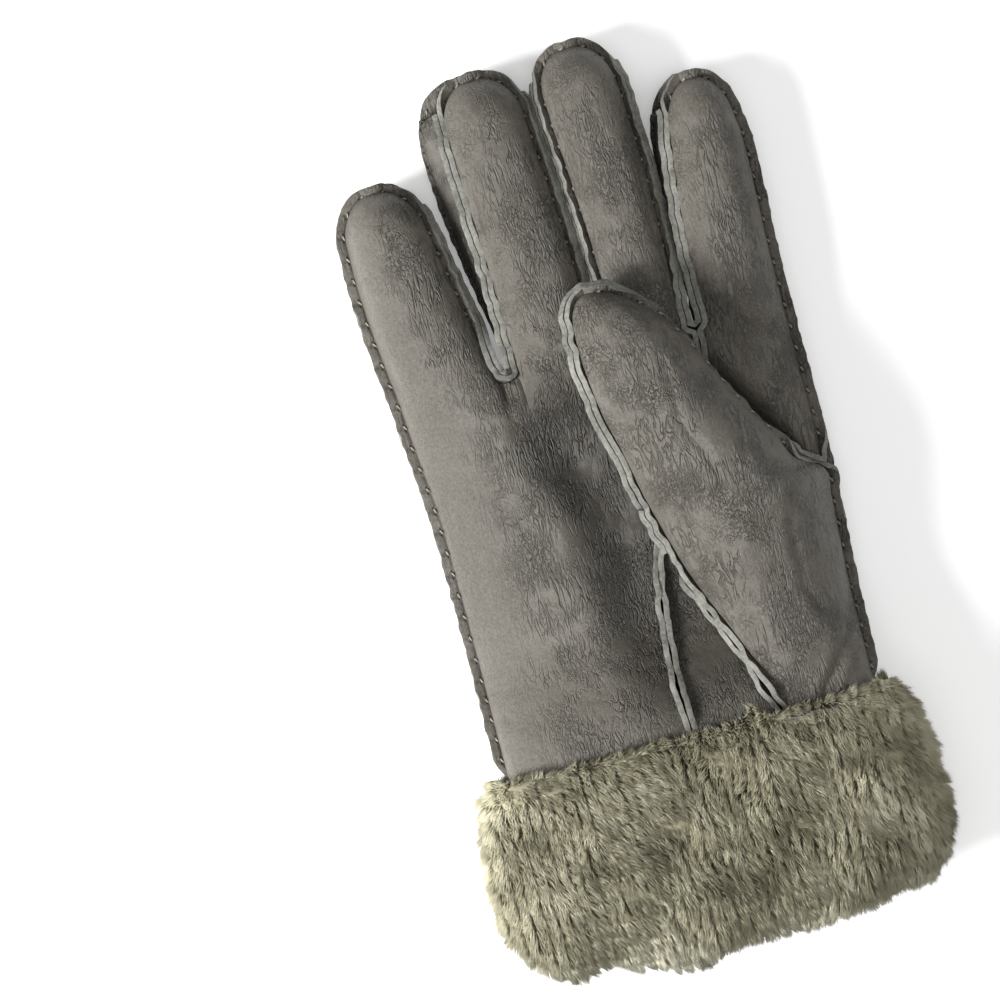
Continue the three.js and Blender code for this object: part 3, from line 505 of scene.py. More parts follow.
def hand_flange(name: str, side: Side, face: Face, y: np.ndarray) -> tuple[np.ndarray, np.ndarray]:
    """Returns lean and width of the seam allowance of a finger's side or tip.

    Args:
        name: The finger.
        side: The run of its outline.
        face: The palm side or the back.
        y: Places along the hand.
    """
    finger = FINGERS[name]
    close = np.ones_like(y) if side is Side.TIP else smooth(0.25, 0.85, tip_share(name, y))
    inner = {Side.LEFT: finger.inner_left, Side.RIGHT: finger.inner_right, Side.TIP: True}[side]
    if not inner:
        return np.full_like(y, OUTER_LEAN), mix(HIDDEN_FLANGE, OUTER_FLANGE, outer_cover(y))
    start, own, length = BACK_LEAN, BACK_LEAN, INNER_FLANGE * BACK_FLANGE_SHARE
    if face is Face.PALM:
        own = finger.lean_right if side is Side.RIGHT else finger.lean_left
        start, length = PARTING_LEAN, INNER_FLANGE
    along = mix(start, own, smooth(48, 70, y))
    return mix(along, OUTER_LEAN, close), mix(length, OUTER_FLANGE, close)


def slit_half(y: Numbers) -> Numbers:
    """Returns half the slit between the two palm panels."""
    return mix(PAIR / 2, SLIT_HALF_AT_STRIP, smooth(41, 44, y))


def slit_flange(name: str, side: Side, y: np.ndarray) -> tuple[np.ndarray, np.ndarray]:
    """Returns lean and width of the allowance of the seam across the palm and up the finger above it.

    Args:
        name: The finger above the seam.
        side: The side of that finger.
        y: Places along the hand.
    """
    lean, length = hand_flange(name, side, Face.PALM, y)
    thumb = smooth(-30, -18, y) * smooth(40, 28, y)
    seam_length = mix(HIDDEN_FLANGE, mix(INNER_FLANGE, 1.0, thumb), outer_cover(y))
    share = smooth(*SLIT_BLEND, y)
    return mix(np.full_like(y, 90.0), lean, share), mix(seam_length, length, share)


def spots_of(piece: bpy.types.Object) -> np.ndarray:
    """Returns the places of a piece's vertices, in metres.

    Args:
        piece: The piece.
    """
    spots = np.empty(len(piece.data.vertices) * 3)
    piece.data.vertices.foreach_get("co", spots)
    return spots.reshape(-1, 3)


def write_attribute(mesh: bpy.types.Mesh, name: str, values: np.ndarray) -> None:
    """Writes a number for each vertex, which the materials read by its name."""
    attribute = mesh.attributes.new(name, "FLOAT", "POINT")
    attribute.data.foreach_set("value", np.ascontiguousarray(values, dtype=np.float32))


def link_mesh(mesh: bpy.types.Mesh) -> bpy.types.Object:
    """Returns a smooth-shaded object with the mesh and its name, linked to the scene.

    Args:
        mesh: The mesh.
    """
    mesh.shade_smooth()
    piece = bpy.data.objects.new(mesh.name, mesh)
    bpy.context.scene.collection.objects.link(piece)
    return piece


def grid_piece(name: str, points: np.ndarray) -> bpy.types.Object:
    """Adds a grid primitive and lays its vertices on rows of places.

    Args:
        name: The object's name.
        points: Places in the pattern's frame, as rows, columns and x, y, z.

    Returns:
        The new object, in metres.
    """
    rows, columns = points.shape[:2]
    bpy.ops.mesh.primitive_grid_add(x_subdivisions=columns - 1, y_subdivisions=rows - 1, size=2)
    piece = bpy.context.object
    piece.name = name
    flat = spots_of(piece)
    column = np.rint((flat[:, 0] + 1) / 2 * (columns - 1)).astype(int)
    row = np.rint((flat[:, 1] + 1) / 2 * (rows - 1)).astype(int)
    piece.data.vertices.foreach_set("co", ((points[row, column] + SHIFT) * MM).ravel())
    piece.data.update()
    return piece


def join_pieces(name: str, pieces: list[bpy.types.Object],
                allowances: Sequence[Allowance] = ()) -> bpy.types.Object:
    """Joins grid pieces into one sheet, merges the edges that they share and marks its seams.

    Args:
        name: The sheet's name.
        pieces: The grid pieces.
        allowances: The seam allowances among them.

    Returns:
        The sheet.
    """
    bpy.ops.object.select_all(action="DESELECT")
    for piece in pieces:
        piece.select_set(True)
    bpy.context.view_layer.objects.active = pieces[0]
    if len(pieces) > 1:
        bpy.ops.object.join()
    joined = bpy.context.object
    joined.name = name
    joined.data.name = name
    bpy.ops.object.mode_set(mode="EDIT")
    bpy.ops.mesh.select_all(action="SELECT")
    bpy.ops.mesh.remove_doubles(threshold=0.02 * MM)
    bpy.ops.mesh.normals_make_consistent(inside=False)
    bpy.ops.object.mode_set(mode="OBJECT")
    if allowances:
        mark_seams(joined, allowances)
    return joined


def mark_seams(piece: bpy.types.Object, allowances: Sequence[Allowance]) -> None:
    """Writes where each vertex lies at the seams, for the needle holes and the groove beside them.

    The attribute "along" is the way along the stitch line. "over" is the distance from that line, above 0 on
    the allowance and below 0 on the panel.

    Args:
        piece: The sheet.
        allowances: Its seam allowances.
    """
    places, along, over = [], [], []
    start = 0.0
    for allowance in allowances:
        for share, row in zip(np.linspace(0, 1, len(allowance.rows)), allowance.rows):
            places.append(row)
            along.append(allowance.along + start)
            over.append(allowance.width * share)
        start += allowance.along[-1] + STITCH_PITCH
    places, along, over = np.concatenate(places), np.concatenate(along), np.concatenate(over)
    whole, line = KDTree(len(places)), KDTree(len(places))
    for i, place in enumerate(places):
        whole.insert(place, i)
        if over[i] == 0.0:
            line.insert(place, i)
    whole.balance()
    line.balance()
    spots = spots_of(piece) / MM - SHIFT
    marks = np.empty((len(spots), 2))
    for i, spot in enumerate(spots):
        _, near, gap = whole.find(spot)
        if gap < 0.05 and over[near] > 0.0:
            marks[i] = along[near], over[near]
        else:
            _, near, gap = line.find(spot)
            marks[i] = along[near], -gap
    write_attribute(piece.data, "along", marks[:, 0])
    write_attribute(piece.data, "over", marks[:, 1])


def mark_painted_shade_and_calm(piece: bpy.types.Object) -> None:
    """Writes where the palm gets painted shade and where it has stayed smooth.

    The attribute "hollow" is 1 in the trough beside the thumb, where it darkens the hide as painted shade.
    "calm" is 1 on the left halves of the fingers and of the palm, which have few creases.

    Args:
        piece: A panel of the palm side.
    """
    x, y, _ = (spots_of(piece) / MM - SHIFT).T
    left, right, depth = (curve(y) for curve in TROUGH_CURVES)
    slope = smooth(left - 20, left - 4, x)
    bank = smooth(right + TROUGH_BANK, right, x)
    write_attribute(piece.data, "painted_trough_shade", slope * bank * np.clip(depth / 3.5, 0, 1))
    calm = smooth(-26, -46, x)
    for name, share in CALM_SHARES.items():
        start, end = (outline(y) for outline in OUTLINES[name][Face.PALM])
        u = 2 * (x - start) / (end - start) - 1
        calm = np.where((np.abs(u) < 1.2) & (y > 52), share * smooth(0.1, -0.5, u), calm)
    write_attribute(piece.data, "calm", calm)


def dress(piece: bpy.types.Object, slot: str, nodes: Sequence[str], *materials: bpy.types.Material) -> None:
    """Gives a piece its materials, its body and the nodes that it stands for.

    Args:
        piece: The finished piece.
        slot: Its material slot in the record. Not used.
        nodes: The nodes of the plain model that it replaces.
        materials: Materials that it still lacks.
    """
    for material in materials:
        piece.data.materials.append(material)
    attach(piece, "root")
    if nodes:
        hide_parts(*nodes)
    LOG.info("%s: %d faces", piece.name, len(piece.data.polygons))


def round_raw_edge(piece: bpy.types.Object, width: float = 0.22) -> None:
    """Bevels the two long edges of the raw edge, which is the second material.

    Args:
        piece: A sheet with its thickness.
        width: Width of the bevel.
    """
    mesh = piece.data
    sides: dict[tuple[int, int], set[int]] = {}
    for face in mesh.polygons:
        for key in face.edge_keys:
            sides.setdefault(key, set()).add(face.material_index)
    bpy.context.view_layer.objects.active = piece
    bpy.ops.object.mode_set(mode="EDIT")
    bpy.ops.mesh.select_all(action="DESELECT")
    bpy.ops.mesh.select_mode(type="EDGE")
    bpy.ops.object.mode_set(mode="OBJECT")
    for edge in mesh.edges:
        edge.select = len(sides.get(edge.key, ())) > 1
    bpy.ops.object.mode_set(mode="EDIT")
    bpy.ops.mesh.bevel(offset=width * MM, segments=2, profile=0.6, material=1, clamp_overlap=True)
    bpy.ops.object.mode_set(mode="OBJECT")


def make_hide(piece: bpy.types.Object, hide: bpy.types.Material, raw: bpy.types.Material) -> None:
    """Gives a sheet the thickness of the hide and rounds its raw edges.

    Args:
        piece: The sheet.
        hide: Material of its two faces.
        raw: Material of its raw edges.
    """
    piece.data.materials.append(hide)
    piece.data.materials.append(raw)
    bpy.context.view_layer.objects.active = piece
    wall = piece.modifiers.new("Solidify", "SOLIDIFY")
    wall.thickness = HIDE * MM
    wall.offset = 0.0
    wall.use_quality_normals = True
    wall.material_offset_rim = 1
    bpy.ops.object.modifier_apply(modifier=wall.name)
    round_raw_edge(piece)
    spots = spots_of(piece)
    spots[:, 2] = np.maximum(spots[:, 2], 0.0)
    piece.data.vertices.foreach_set("co", spots.ravel())
    piece.data.update()
    bpy.context.view_layer.objects.active = piece
    bpy.ops.object.select_all(action="DESELECT")
    piece.select_set(True)
    bpy.ops.object.shade_smooth_by_angle(angle=math.radians(50))


# Finishes

Socket = bpy.types.NodeSocket
WHITE = (1.0, 1.0, 1.0)
BLACK = (0.0, 0.0, 0.0)


def grey(level: float) -> Colour:
    """Returns a grey."""
    return (level, level, level)


class NodeTree:
    """Short calls that build one material's nodes."""

    def __init__(self, name: str) -> None:
        """Makes a material with an empty tree and a principled shader.

        Args:
            name: The material's name.
        """
        self.material = bpy.data.materials.new(name)
        self.material.use_nodes = True
        self.tree = self.material.node_tree
        self.tree.nodes.clear()
        self.shader = self.add("ShaderNodeBsdfPrincipled")
        output = self.add("ShaderNodeOutputMaterial")
        self.link(self.shader.outputs[0], output.inputs[0])
        self.place = self.add("ShaderNodeTexCoord").outputs["Object"]

    def add(self, kind: str, **settings: str) -> bpy.types.Node:
        """Adds a node and sets its properties.

        Args:
            kind: The node's type.
            settings: Its properties.

        Returns:
            The node.
        """
        node = self.tree.nodes.new(kind)
        for key, value in settings.items():
            setattr(node, key, value)
        return node

    def link(self, start: Socket, end: Socket | str) -> None:
        """Links a socket to another, or to the shader's input of that name."""
        self.tree.links.new(start, self.shader.inputs[end] if isinstance(end, str) else end)

    def set_shader(self, **levels: float | Colour) -> None:
        """Sets numbers and colours on the shader's own sockets, named with underscores for spaces."""
        for name, level in levels.items():
            value = (*level, 1.0) if isinstance(level, tuple) else level
            self.shader.inputs[name.replace("_", " ")].default_value = value

    def own(self, name: str) -> Socket:
        """Returns the value of the piece's own attribute."""
        return self.add("ShaderNodeAttribute", attribute_name=name).outputs["Fac"]

    def stretched(self, scale: tuple[float, float, float], turn: float = 0.0) -> Socket:
        """Returns the object's coordinates scaled, and turned about the vertical.

        Args:
            scale: Scale along each axis.
            turn: Angle of the turn.
        """
        mapping = self.add("ShaderNodeMapping")
        mapping.inputs["Scale"].default_value = scale
        mapping.inputs["Rotation"].default_value = (0.0, 0.0, turn)
        self.link(self.place, mapping.inputs["Vector"])
        return mapping.outputs[0]

    def noise(self, scale: float, detail: float, place: Socket | None = None, rough: float = 0.55,
              distortion: float = 0.0) -> Socket:
        """Returns a noise between 0 and 1.

        Args:
            scale: How many features there are for each metre.
            detail: Number of finer layers.
            place: Coordinates, the object's own where none are given.
            rough: How strong the finer layers are.
            distortion: How much the features meander.
        """
        node = self.add("ShaderNodeTexNoise")
        for name, value in (("Scale", scale), ("Detail", detail), ("Roughness", rough),
                            ("Distortion", distortion)):
            node.inputs[name].default_value = value
        self.link(place or self.place, node.inputs["Vector"])
        return node.outputs[0]

    def math(self, operation: str, first: Socket | float, second: Socket | float = 0.0) -> Socket:
        """Returns the result of a math node on sockets or numbers.

        Args:
            operation: The node's operation.
            first: First value.
            second: Second value.
        """
        node = self.add("ShaderNodeMath", operation=operation)
        for socket, value in zip(node.inputs, (first, second)):
            if isinstance(value, (int, float)):
                socket.default_value = value
            else:
                self.link(value, socket)
        return node.outputs[0]

    def away(self, value: Socket, middle: float) -> Socket:
        """Returns how far a value lies from a middle one, on either side."""
        return self.math("ABSOLUTE", self.math("SUBTRACT", value, middle))

    def ramp(self, factor: Socket, stops: Sequence[tuple[float, Colour]]) -> Socket:
        """Returns the colour of a ramp at a factor.

        Args:
            factor: Place on the ramp.
            stops: Position and colour of each stop.
        """
        node = self.add("ShaderNodeValToRGB")
        elements = node.color_ramp.elements
        while len(elements) < len(stops):
            elements.new(0.5)
        for element, (position, colour) in zip(elements, stops):
            element.position = position
            element.color = (*colour, 1.0)
        self.link(factor, node.inputs[0])
        return node.outputs[0]

    def blend(self, kind: str, factor: Socket | float, first: Socket | Colour,
              second: Socket | Colour) -> Socket:
        """Returns two colours mixed by a blend type.

        Args:
            kind: The blend type.
            factor: Share of the second colour.
            first: The colour below.
            second: The colour above.
        """
        node = self.add("ShaderNodeMix", data_type="RGBA", blend_type=kind)
        for index, value in ((0, factor), (6, first), (7, second)):
            if isinstance(value, (int, float)):
                node.inputs[index].default_value = value
            elif isinstance(value, tuple):
                node.inputs[index].default_value = (*value, 1.0)
            else:
                self.link(value, node.inputs[index])
        return node.outputs[2]

    def bump(self, height: Socket, strength: float, distance: float, under: Socket | None = None) -> Socket:
        """Returns a normal bumped by a height.

        Args:
            height: The height, from 0 to 1.
            strength: How strongly it shows.
            distance: Metres between height 0 and height 1.
            under: Normal of a finer bump under this one.
        """
        node = self.add("ShaderNodeBump")
        node.inputs["Strength"].default_value = strength
        node.inputs["Distance"].default_value = distance
        self.link(height, node.inputs["Height"])
        if under is not None:
            self.link(under, node.inputs["Normal"])
        return node.outputs[0]


@dataclass(frozen=True)
class Creases:
    """One set of fine meandering creases.

    Attributes:
        scale: Creases for each metre along each axis, so that they can run one way.
        turn: Angle of that way about the vertical.
        width: Breadth of a crease, as a share of the noise.
        cover: Level of a coarse noise under which the hide is smooth.
    """

    scale: tuple[float, float, float]
    turn: float
    width: float
    cover: float

    def height(self, nodes: NodeTree) -> Socket:
        """Returns a height that is 0 in a crease and 1 beside it.

        Args:
            nodes: The material's nodes.
        """
        ridge = nodes.away(nodes.noise(1.0, 2.0, nodes.stretched(self.scale, self.turn), 0.5, 0.5), 0.5)
        crease = nodes.ramp(ridge, ((0.0, BLACK), (self.width, WHITE)))
        patch = nodes.ramp(nodes.noise(62.0, 2.0, nodes.stretched(WHITE, self.turn)),
                           ((self.cover, BLACK), (self.cover + 0.14, WHITE)))
        return nodes.blend("MIX", patch, WHITE, crease)


@dataclass(frozen=True)
class HideFinish:
    """Semi-matt dyed hide with a pebble grain, a net of wrinkles and the pinch of its seams, with painted
    shade in the wrinkles, the needle holes, the groove beside the seams and the trough beside the thumb.
    """

    dark: Colour = (0.067, 0.060, 0.0488)
    light: Colour = (0.130, 0.118, 0.0985)
    painted_trough_shade: Colour = (0.5, 0.49, 0.48)  # painted shade: what is left of the tone in the trough beside the thumb, where the thumb shades the palm
    roughness: float = 0.42
    specular: float = 0.36
    creases: tuple[Creases, ...] = (
        Creases((540.0, 100.0, 400.0), 0.12, 0.065, 0.45),
        Creases((640.0, 190.0, 400.0), -0.75, 0.07, 0.46),
        Creases((950.0, 640.0, 700.0), 0.5, 0.08, 0.48),
    )

    def pinch(self, nodes: NodeTree) -> tuple[Socket, Socket]:
        """Returns the painted shade of the needle holes and of the groove beside the stitch line, and the
        height of the pull that the thread gives the hide.

        Args:
            nodes: The material's nodes.
        """
        over = nodes.own("over")
        beat = nodes.math("FRACT", nodes.math("DIVIDE", nodes.own("along"), STITCH_PITCH))
        apart = nodes.math("MULTIPLY", nodes.away(beat, 0.5), STITCH_PITCH)
        off_hole = nodes.math("SUBTRACT", apart, STITCH_HALF + 0.1)
        off_line = nodes.math("SUBTRACT", over, STITCH_OVER)
        squares = nodes.math("ADD", nodes.math("POWER", off_hole, 2.0), nodes.math("POWER", off_line, 2.0))
        # Painted shade in the needle holes.
        hole = nodes.ramp(nodes.math("SQRT", squares), ((0.2, grey(0.22)), (0.62, WHITE)))
        near = nodes.ramp(nodes.math("MULTIPLY", nodes.away(over, 0.6), 0.25), ((0.25, WHITE), (0.8, BLACK)))
        fold = nodes.ramp(apart, ((0.0, BLACK), (0.9, WHITE)))
        height = nodes.blend("MULTIPLY", near, WHITE, fold)
        # Painted shade along the groove just beside the stitch line, on the panel.
        line = nodes.ramp(nodes.away(over, -0.35), ((0.1, grey(0.68)), (0.8, WHITE)))
        return nodes.blend("MULTIPLY", 1.0, hole, line), nodes.blend("MULTIPLY", 1.0, height, hole)

    def make(self, name: str) -> bpy.types.Material:
        """Returns the hide's material.

        Args:
            name: The material's name.
        """
        nodes = NodeTree(name)
        clouds = nodes.noise(30.0, 4.0)
        specks = nodes.noise(1300.0, 2.0)
        tone = nodes.math("ADD", nodes.math("MULTIPLY", clouds, 0.3), nodes.math("MULTIPLY", specks, 0.7))
        colour = nodes.ramp(tone, ((0.3, self.dark), (0.7, self.light)))
        net, *others = (creases.height(nodes) for creases in self.creases)
        for height in others:
            net = nodes.blend("MULTIPLY", 1.0, net, height)
        net = nodes.blend("MIX", nodes.math("MULTIPLY", nodes.own("calm"), 0.85), net, WHITE)
        # Painted shade in the wrinkles: the net of creases also darkens the colour.
        colour = nodes.blend("MULTIPLY", 0.46, colour, net)
        # Painted shade: darkens the hide in the trough beside the thumb.
        colour = nodes.blend("MULTIPLY", nodes.own("painted_trough_shade"), colour, self.painted_trough_shade)
        seam_shade, seam_height = self.pinch(nodes)
        nodes.link(nodes.blend("MULTIPLY", 0.9, colour, seam_shade), "Base Color")
        pebble = nodes.add("ShaderNodeTexVoronoi", feature="SMOOTH_F1")
        pebble.inputs["Scale"].default_value = 1500.0
        pebble.inputs["Smoothness"].default_value = 0.4
        fine = nodes.bump(pebble.outputs[0], 0.4, 0.0003)
        middle = nodes.bump(net, 0.9, 0.00045, fine)
        soft = nodes.bump(nodes.noise(110.0, 2.0), 0.6, 0.0016, middle)
        nodes.link(nodes.bump(seam_height, 0.6, 0.0006, soft), "Normal")
        rough = nodes.add("ShaderNodeMapRange")
        nodes.link(clouds, rough.inputs[0])
        rough.inputs[3].default_value = self.roughness - 0.06
        rough.inputs[4].default_value = self.roughness + 0.08
        nodes.link(rough.outputs[0], "Roughness")
        nodes.set_shader(Specular_IOR_Level=self.specular)
        return nodes.material


@dataclass(frozen=True)
class RawEdgeFinish:
    """The pale cut edge of the hide, fibrous and matt."""

    dark: Colour = (0.062, 0.061, 0.051)
    light: Colour = (0.235, 0.234, 0.208)

    def make(self, name: str) -> bpy.types.Material:
        """Returns the raw edge's material.

        Args:
            name: The material's name.
        """
        nodes = NodeTree(name)
        fibres = nodes.noise(900.0, 4.0)
        patches = nodes.noise(110.0, 2.0)
        tone = nodes.math("ADD", nodes.math("MULTIPLY", fibres, 0.55), nodes.math("MULTIPLY", patches, 0.45))
        nodes.link(nodes.ramp(tone, ((0.3, self.dark), (0.68, self.light))), "Base Color")
        nodes.link(nodes.bump(fibres, 0.7, 0.0003), "Normal")
        nodes.set_shader(Roughness=0.85)
        return nodes.material


@dataclass(frozen=True)
class ThreadFinish:
    """Waxed grey thread with a twist."""

    colour: Colour = (0.27, 0.255, 0.225)
    shade: float = 0.6

    def make(self, name: str) -> bpy.types.Material:
        """Returns the thread's material.

        Args:
            name: The material's name.
        """
        nodes = NodeTree(name)
        shaded = tuple(level * self.shade for level in self.colour)
        nodes.link(nodes.ramp(nodes.noise(1400.0, 2.0), ((0.3, shaded), (0.7, self.colour))), "Base Color")
        nodes.set_shader(Roughness=0.6)
        return nodes.material


@dataclass(frozen=True)
class FleeceFinish:
    """Sheared wool: dark at the roots and pale at the tips, read from the strands' tone, which also carries
    painted light.
    """

    root: Colour = (0.15, 0.139, 0.09)
    middle: Colour = (0.40, 0.376, 0.267)
    tip: Colour = (0.76, 0.73, 0.58)

    def make(self, name: str) -> bpy.types.Material:
        """Returns the fleece's material.

        Args:
            name: The material's name.
        """
        nodes = NodeTree(name)
        clouds = nodes.math("SUBTRACT", nodes.noise(75.0, 3.0), 0.5)
        tone = nodes.math("ADD", nodes.own("tone"), nodes.math("MULTIPLY", clouds, 0.5))
        nodes.link(nodes.ramp(tone, ((0.05, self.root), (0.5, self.middle), (0.95, self.tip))), "Base Color")
        nodes.set_shader(Roughness=0.8, Specular_IOR_Level=0.2)
        return nodes.material


# The hide panels

@dataclass
class HandPanel:
    """A panel of one or more fingers: their columns, the webs between them and its edges.

    Attributes:
        name: The panel's name.
        names: Its fingers, from the left.
        face: The palm side or the back.
        edges: Its left and right edges below the fingers.
        height: Its height at a place.
        seam_side: Whether its right side is the seam across the palm.
        edge: Its whole edge.
    """

    name: str
    names: tuple[str, ...]
    face: Face
    edges: tuple[Line, Line]
    height: Surface
    seam_side: bool = False
    edge: Edge = field(init=False)

    def lane(self, name: str, u: np.ndarray, y: np.ndarray) -> np.ndarray:
        """Returns places on a finger's column, for arrays of u and y.

        Args:
            name: The finger.
            u: Places across it, from -1 to 1.
            y: Places along the hand.
        """
        x = column_x(name, self.face, u, y, self.edges)
        z = mix(finger_height(name, self.face, u, y), self.height(x, y), smooth(*FINGER_BLEND, y))
        return np.stack([x, y, z], axis=-1)

    def web(self, name: str, following: str) -> np.ndarray:
        """Returns the web below the parting of two fingers, with a rounded upper edge.

        Args:
            name: The finger on the left.
            following: The finger on the right.

        Returns:
            Places on the web, as rows from below and columns from the left.
        """
        y = hand_stations(name, CROTCHES[name])
        left = self.lane(name, np.ones_like(y), y)
        right = self.lane(following, -np.ones_like(y), y)
        share = np.linspace(0, 1, WEB_CELLS + 1)
        points = mix(left[:, None, :], right[:, None, :], share[None, :, None])
        sag = 4 * share * (1 - share)
        near = smooth(CROTCHES[name] - WEB_REACH, CROTCHES[name], y)
        points[:, :, 1] -= WEB_SAG * near[:, None] * sag[None, :]
        level = self.height(points[:, :, 0], points[:, :, 1])
        points[:, :, 2] = mix(points[:, :, 2], level, 0.2 * sag[None, :])
        return points

    def web_edge(self, name: str, following: str) -> Edge:
        """Returns the upper edge of the web between two fingers."""
        places = self.web(name, following)[-1][1:-1]
        return Edge(places, *hand_flange(name, Side.RIGHT, self.face, places[:, 1]))

    def side(self, name: str, side: Side) -> Edge:
        """Returns the free edge of one side of a finger, from its lower end to the tip.

        Args:
            name: The finger.
            side: Its left or right side.
        """
        n = self.names.index(name)
        low = PANEL_END_Y
        if side is Side.LEFT and n > 0:
            low = CROTCHES[self.names[n - 1]]
        if side is Side.RIGHT and n + 1 < len(self.names):
            low = CROTCHES[name]
        y = hand_stations(name)
        y = y[y >= low - NEAR_ZERO]
        points = self.lane(name, np.full_like(y, -1.0 if side is Side.LEFT else 1.0), y)
        if self.seam_side and name == self.names[-1] and side is Side.RIGHT:
            return Edge(points, *slit_flange(name, side, y))
        return Edge(points, *hand_flange(name, side, self.face, y))

    def outline(self) -> Edge:
        """Returns the whole edge from the lower left end, round the fingers, to the lower right end."""
        runs = []
        for n, name in enumerate(self.names):
            u = np.linspace(-1, 1, LANE_CELLS + 1)[1:-1]
            tip_y = np.full_like(u, FINGERS[name].tip)
            tip = Edge(self.lane(name, u, tip_y), *hand_flange(name, Side.TIP, self.face, tip_y))
            runs += [self.side(name, Side.LEFT), tip, self.side(name, Side.RIGHT).backwards()]
            if n + 1 < len(self.names):
                runs.append(self.web_edge(name, self.names[n + 1]))
        return Edge.chain(runs)

    def build(self) -> bpy.types.Object:
        """Returns the panel as a sheet without thickness."""
        pieces = []
        for n, name in enumerate(self.names):
            grid_u, grid_y = np.meshgrid(np.linspace(-1, 1, LANE_CELLS + 1), hand_stations(name))
            pieces.append(grid_piece(f"{name}_lane", self.lane(name, grid_u, grid_y)))
            if n + 1 < len(self.names):
                pieces.append(grid_piece(f"{name}_web", self.web(name, self.names[n + 1])))
        self.edge = self.outline()
        allowance = self.edge.allowance()
        pieces.append(grid_piece("allowance", allowance.rows))
        return join_pieces(self.name, pieces, [allowance])


@dataclass
class IndexPanel:
    """The index finger's palm side with the strip under the thumb and the narrow tail down to the cuff.

    Attributes:
        welt: The strip's own edge in the thumb's left seam, above its tail.
        name: The panel's name.
        cells: Number of faces across it.
        left_edge: The left side of its edge.
        edge: Its whole edge.
    """

    welt: Allowance
    name: str = "index_hide"
    cells: int = 34
    left_edge: Edge = field(init=False)
    edge: Edge = field(init=False)

    def left(self, y: Numbers) -> Numbers:
        """Returns the sideways place of the seam across the palm."""
        return body_seam(y) + slit_half(y)

    def surface(self, share: np.ndarray, y: np.ndarray) -> np.ndarray:
        """Returns places on the panel, for the share across it and the nominal place along it.

        Args:
            share: Share across it, 0 at the left.
            y: Nominal place along it.
        """
        u = 2 * share - 1
        tail_y, tail_x, tail_lift = (curve(y) for curve in TAIL_CURVES)
        lower = smooth(-1, 6, y)
        low_x = mix(self.left(y), tail_x, share)
        low_y = mix(y, tail_y, share ** 4) + tail_lift * share ** 2 * (1 - share ** 4)
        x = mix(low_x, column_x("index", Face.PALM, u, y, (self.left, body_right)), lower)
        place_y = mix(low_y, y, lower)
        z = mix(finger_height("index", Face.PALM, u, y), palm_dome(x, place_y), smooth(*FINGER_BLEND, y))
        return np.stack([x, place_y, z], axis=-1)

    def right_flange(self, y: np.ndarray) -> tuple[np.ndarray, np.ndarray]:
        """Returns lean and width of the allowance on the thumb's side.

        Args:
            y: Nominal places along the panel.
        """
        lean, length = hand_flange("index", Side.RIGHT, Face.PALM, y)
        tail_length = mix(HIDDEN_FLANGE, INNER_FLANGE, outer_cover(y))
        for low, high, own_lean, own_length in (
                (-math.inf, 0, 118.0, tail_length), (-27, -8, 30.0, 0.5), (-8, 3, 82.0, INNER_FLANGE)):
            within = (y >= low) & (y < high)
            lean = np.where(within, own_lean, lean)
            length = np.where(within, own_length, length)
        kernel = np.array([1, 2, 3, 2, 1]) / 9.0
        lean, length = (np.convolve(np.pad(values, 2, mode="edge"), kernel, mode="valid")
                        for values in (lean, length))
        return lean, length

    def build(self) -> bpy.types.Object:
        """Returns the panel as a sheet without thickness."""
        y = hand_stations("index")
        body = self.surface(*np.meshgrid(np.linspace(0, 1, self.cells + 1), y))
        tip_y = np.full(self.cells - 1, FINGERS["index"].tip)
        self.left_edge = Edge(body[:, 0], *slit_flange("index", Side.LEFT, y))
        tip = Edge(body[-1, 1:-1], *hand_flange("index", Side.TIP, Face.PALM, tip_y))
        right = Edge(body[:, -1], *self.right_flange(y))
        self.edge = Edge.chain([self.left_edge, tip, right.backwards()])
        allowance = self.edge.allowance()
        pieces = [grid_piece("index_lane", body), grid_piece("allowance", allowance.rows),
                  grid_piece("welt", self.welt.rows)]
        return join_pieces(self.name, pieces, [allowance, self.welt])


